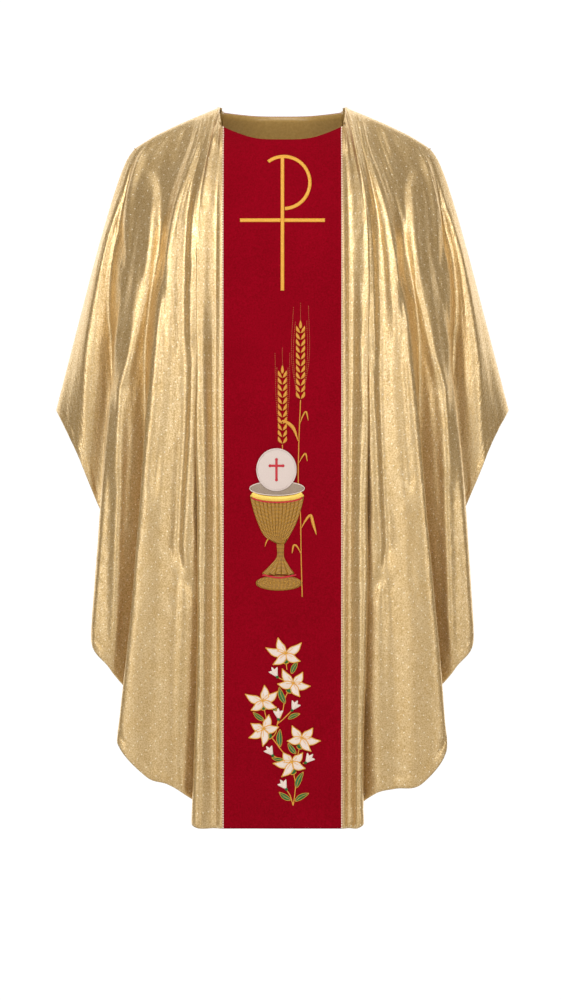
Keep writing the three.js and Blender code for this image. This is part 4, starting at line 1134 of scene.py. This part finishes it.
def petal(centre, tip, lift):
    """One petal and the threads that go on it: its two edges and a vein. Petals curl their tips
    towards the sides, so those on the left bend one way and those on the right the other."""
    bend = 0.1 if tip[0] < centre[0] else -0.1
    shape = dict(bend=bend, fullest=0.4, taper=1.25, height=0.0013)
    leaf = blade(centre, tip, PETAL_WIDTH, lift=lift, **shape)
    edges = blade_outline(centre, tip, PETAL_WIDTH, 1.7, lift=lift + 0.0002, **shape)
    vein = bend_path(centre, np.array(centre) + VEIN * (np.array(tip) - centre))
    return leaf, [*edges, satin_line(vein, 0.9, 0.0006, lift + 0.0012)]


for k, (centre, calyx, behind, before) in enumerate(LILIES, 1):
    petals, edges = [], []
    for tip in (*behind, *before):
        leaf, threads = petal(centre, tip, BACK_LIFT if tip in behind else FRONT_LIFT)
        petals.append(leaf)
        edges += threads
    stitched(f"lily_{k}_petals", petals, white_thread, f"lily_{k}")
    stitched(f"lily_{k}_edges", edges, gold_thread)
    cup = disc((calyx[0], calyx[1] - 2), 5.8, 5.0, 28, height=0.0013, lift=0.0012, rings=8)
    stitched(f"lily_{k}_calyx", [cup], green_thread)

BUDS = [  # foot and the direction that it opens, in degrees
    ((-9, -988), 120), ((17, -1047), 60), ((-7, -1063), 92),
    ((-17, -1127), 125), ((41, -1140), 50), ((7, -1187), 122),
]
for k, (foot_at, turn) in enumerate(BUDS, 1):
    petals = []
    for spread, length, lift in ((-30, 18, 0.0006), (30, 18, 0.0006), (0, 20.5, 0.0011)):
        angle = np.radians(turn + spread)
        tip = (foot_at[0] + length * np.cos(angle), foot_at[1] + length * np.sin(angle))
        petals.append(blade(foot_at, tip, 7.0, bend=-spread / 200, fullest=0.5, lift=lift))
    stitched(f"bud_{k}_petals", petals, white_thread, f"lily_bud_{k}")
    cup = disc(foot_at, 2.8, 2.4, 20, height=0.0012, lift=0.0016, rings=6)
    stitched(f"bud_{k}_calyx", [cup], green_thread)

# %% Stems and leaves
ROOT, FORK, HIGH_FORK = (19, -1216), (-18, -1096), (-9, -1071)
lowest_lily = LILIES[5][0]
feet = [bud[0] for bud in BUDS]
STEMS = [
    [ROOT, (22, -1195), (23, -1176), (19, -1155)],
    [ROOT, (14, -1199), feet[5]],
    [lowest_lily, (0, -1120), FORK, (-24, -1090)],
    [lowest_lily, (-3, -1134), feet[3]],
    [(27, -1128), (29, -1118), (31.5, -1108)],
    [(36, -1141), feet[4]],
    [FORK, (-11, -1085), HIGH_FORK, feet[2]],
    [HIGH_FORK, (2, -1062), feet[1]],
    [HIGH_FORK, (0, -1050), (5, -1025), (13, -1009)],
    [(-28, -1063), (-30, -1055), (-33.5, -1039)],
    [(8, -975), (6, -957)],
    [(2, -994), feet[0]],
]
stems = [satin_line(smooth_path(path), 1.7, 0.0008, 0.0002) for path in STEMS]
for x, z in (lily[1] for lily in LILIES):
    stems.append(satin_line(ring_outline((x, z - 2), 6.4, 5.6, 40, 185, 355), 1.5, 0.0011, 0.0016))
stitched("lily_stems", stems, gold_thread)

LEAVES = [  # base, tip, width
    ((16, -982), (27, -961), 9), ((5, -1035), (-6, -1006), 10), ((-9, -1047), (-22, -1038), 6),
    ((-32, -1065), (-52, -1050), 8), ((10, -1062), (31, -1053), 8), ((-4, -1112), (-4, -1080), 10),
    ((24, -1124), (10, -1105), 9), ((3, -1135), (-19, -1131), 7), ((24, -1185), (37, -1156), 10),
    ((15, -1206), (-6, -1192), 9), ((22, -1208), (47, -1194), 9),
]
leaves, edges = [], []
for base, tip, width in LEAVES:
    leaves.append(blade(base, tip, width, bend=0.05, fullest=0.45, lift=0.0006))
    edges += blade_outline(base, tip, width, 0.9, bend=0.05, fullest=0.45)
    edges.append(satin_line(bend_path(base, tip, 0.05), 0.7, 0.0005, 0.0015))
stitched("lily_leaves", leaves, green_thread, "lily_stems_and_leaves")
stitched("lily_leaf_edges", edges, gold_thread)

# %% Update the view layer
bpy.context.view_layer.update()
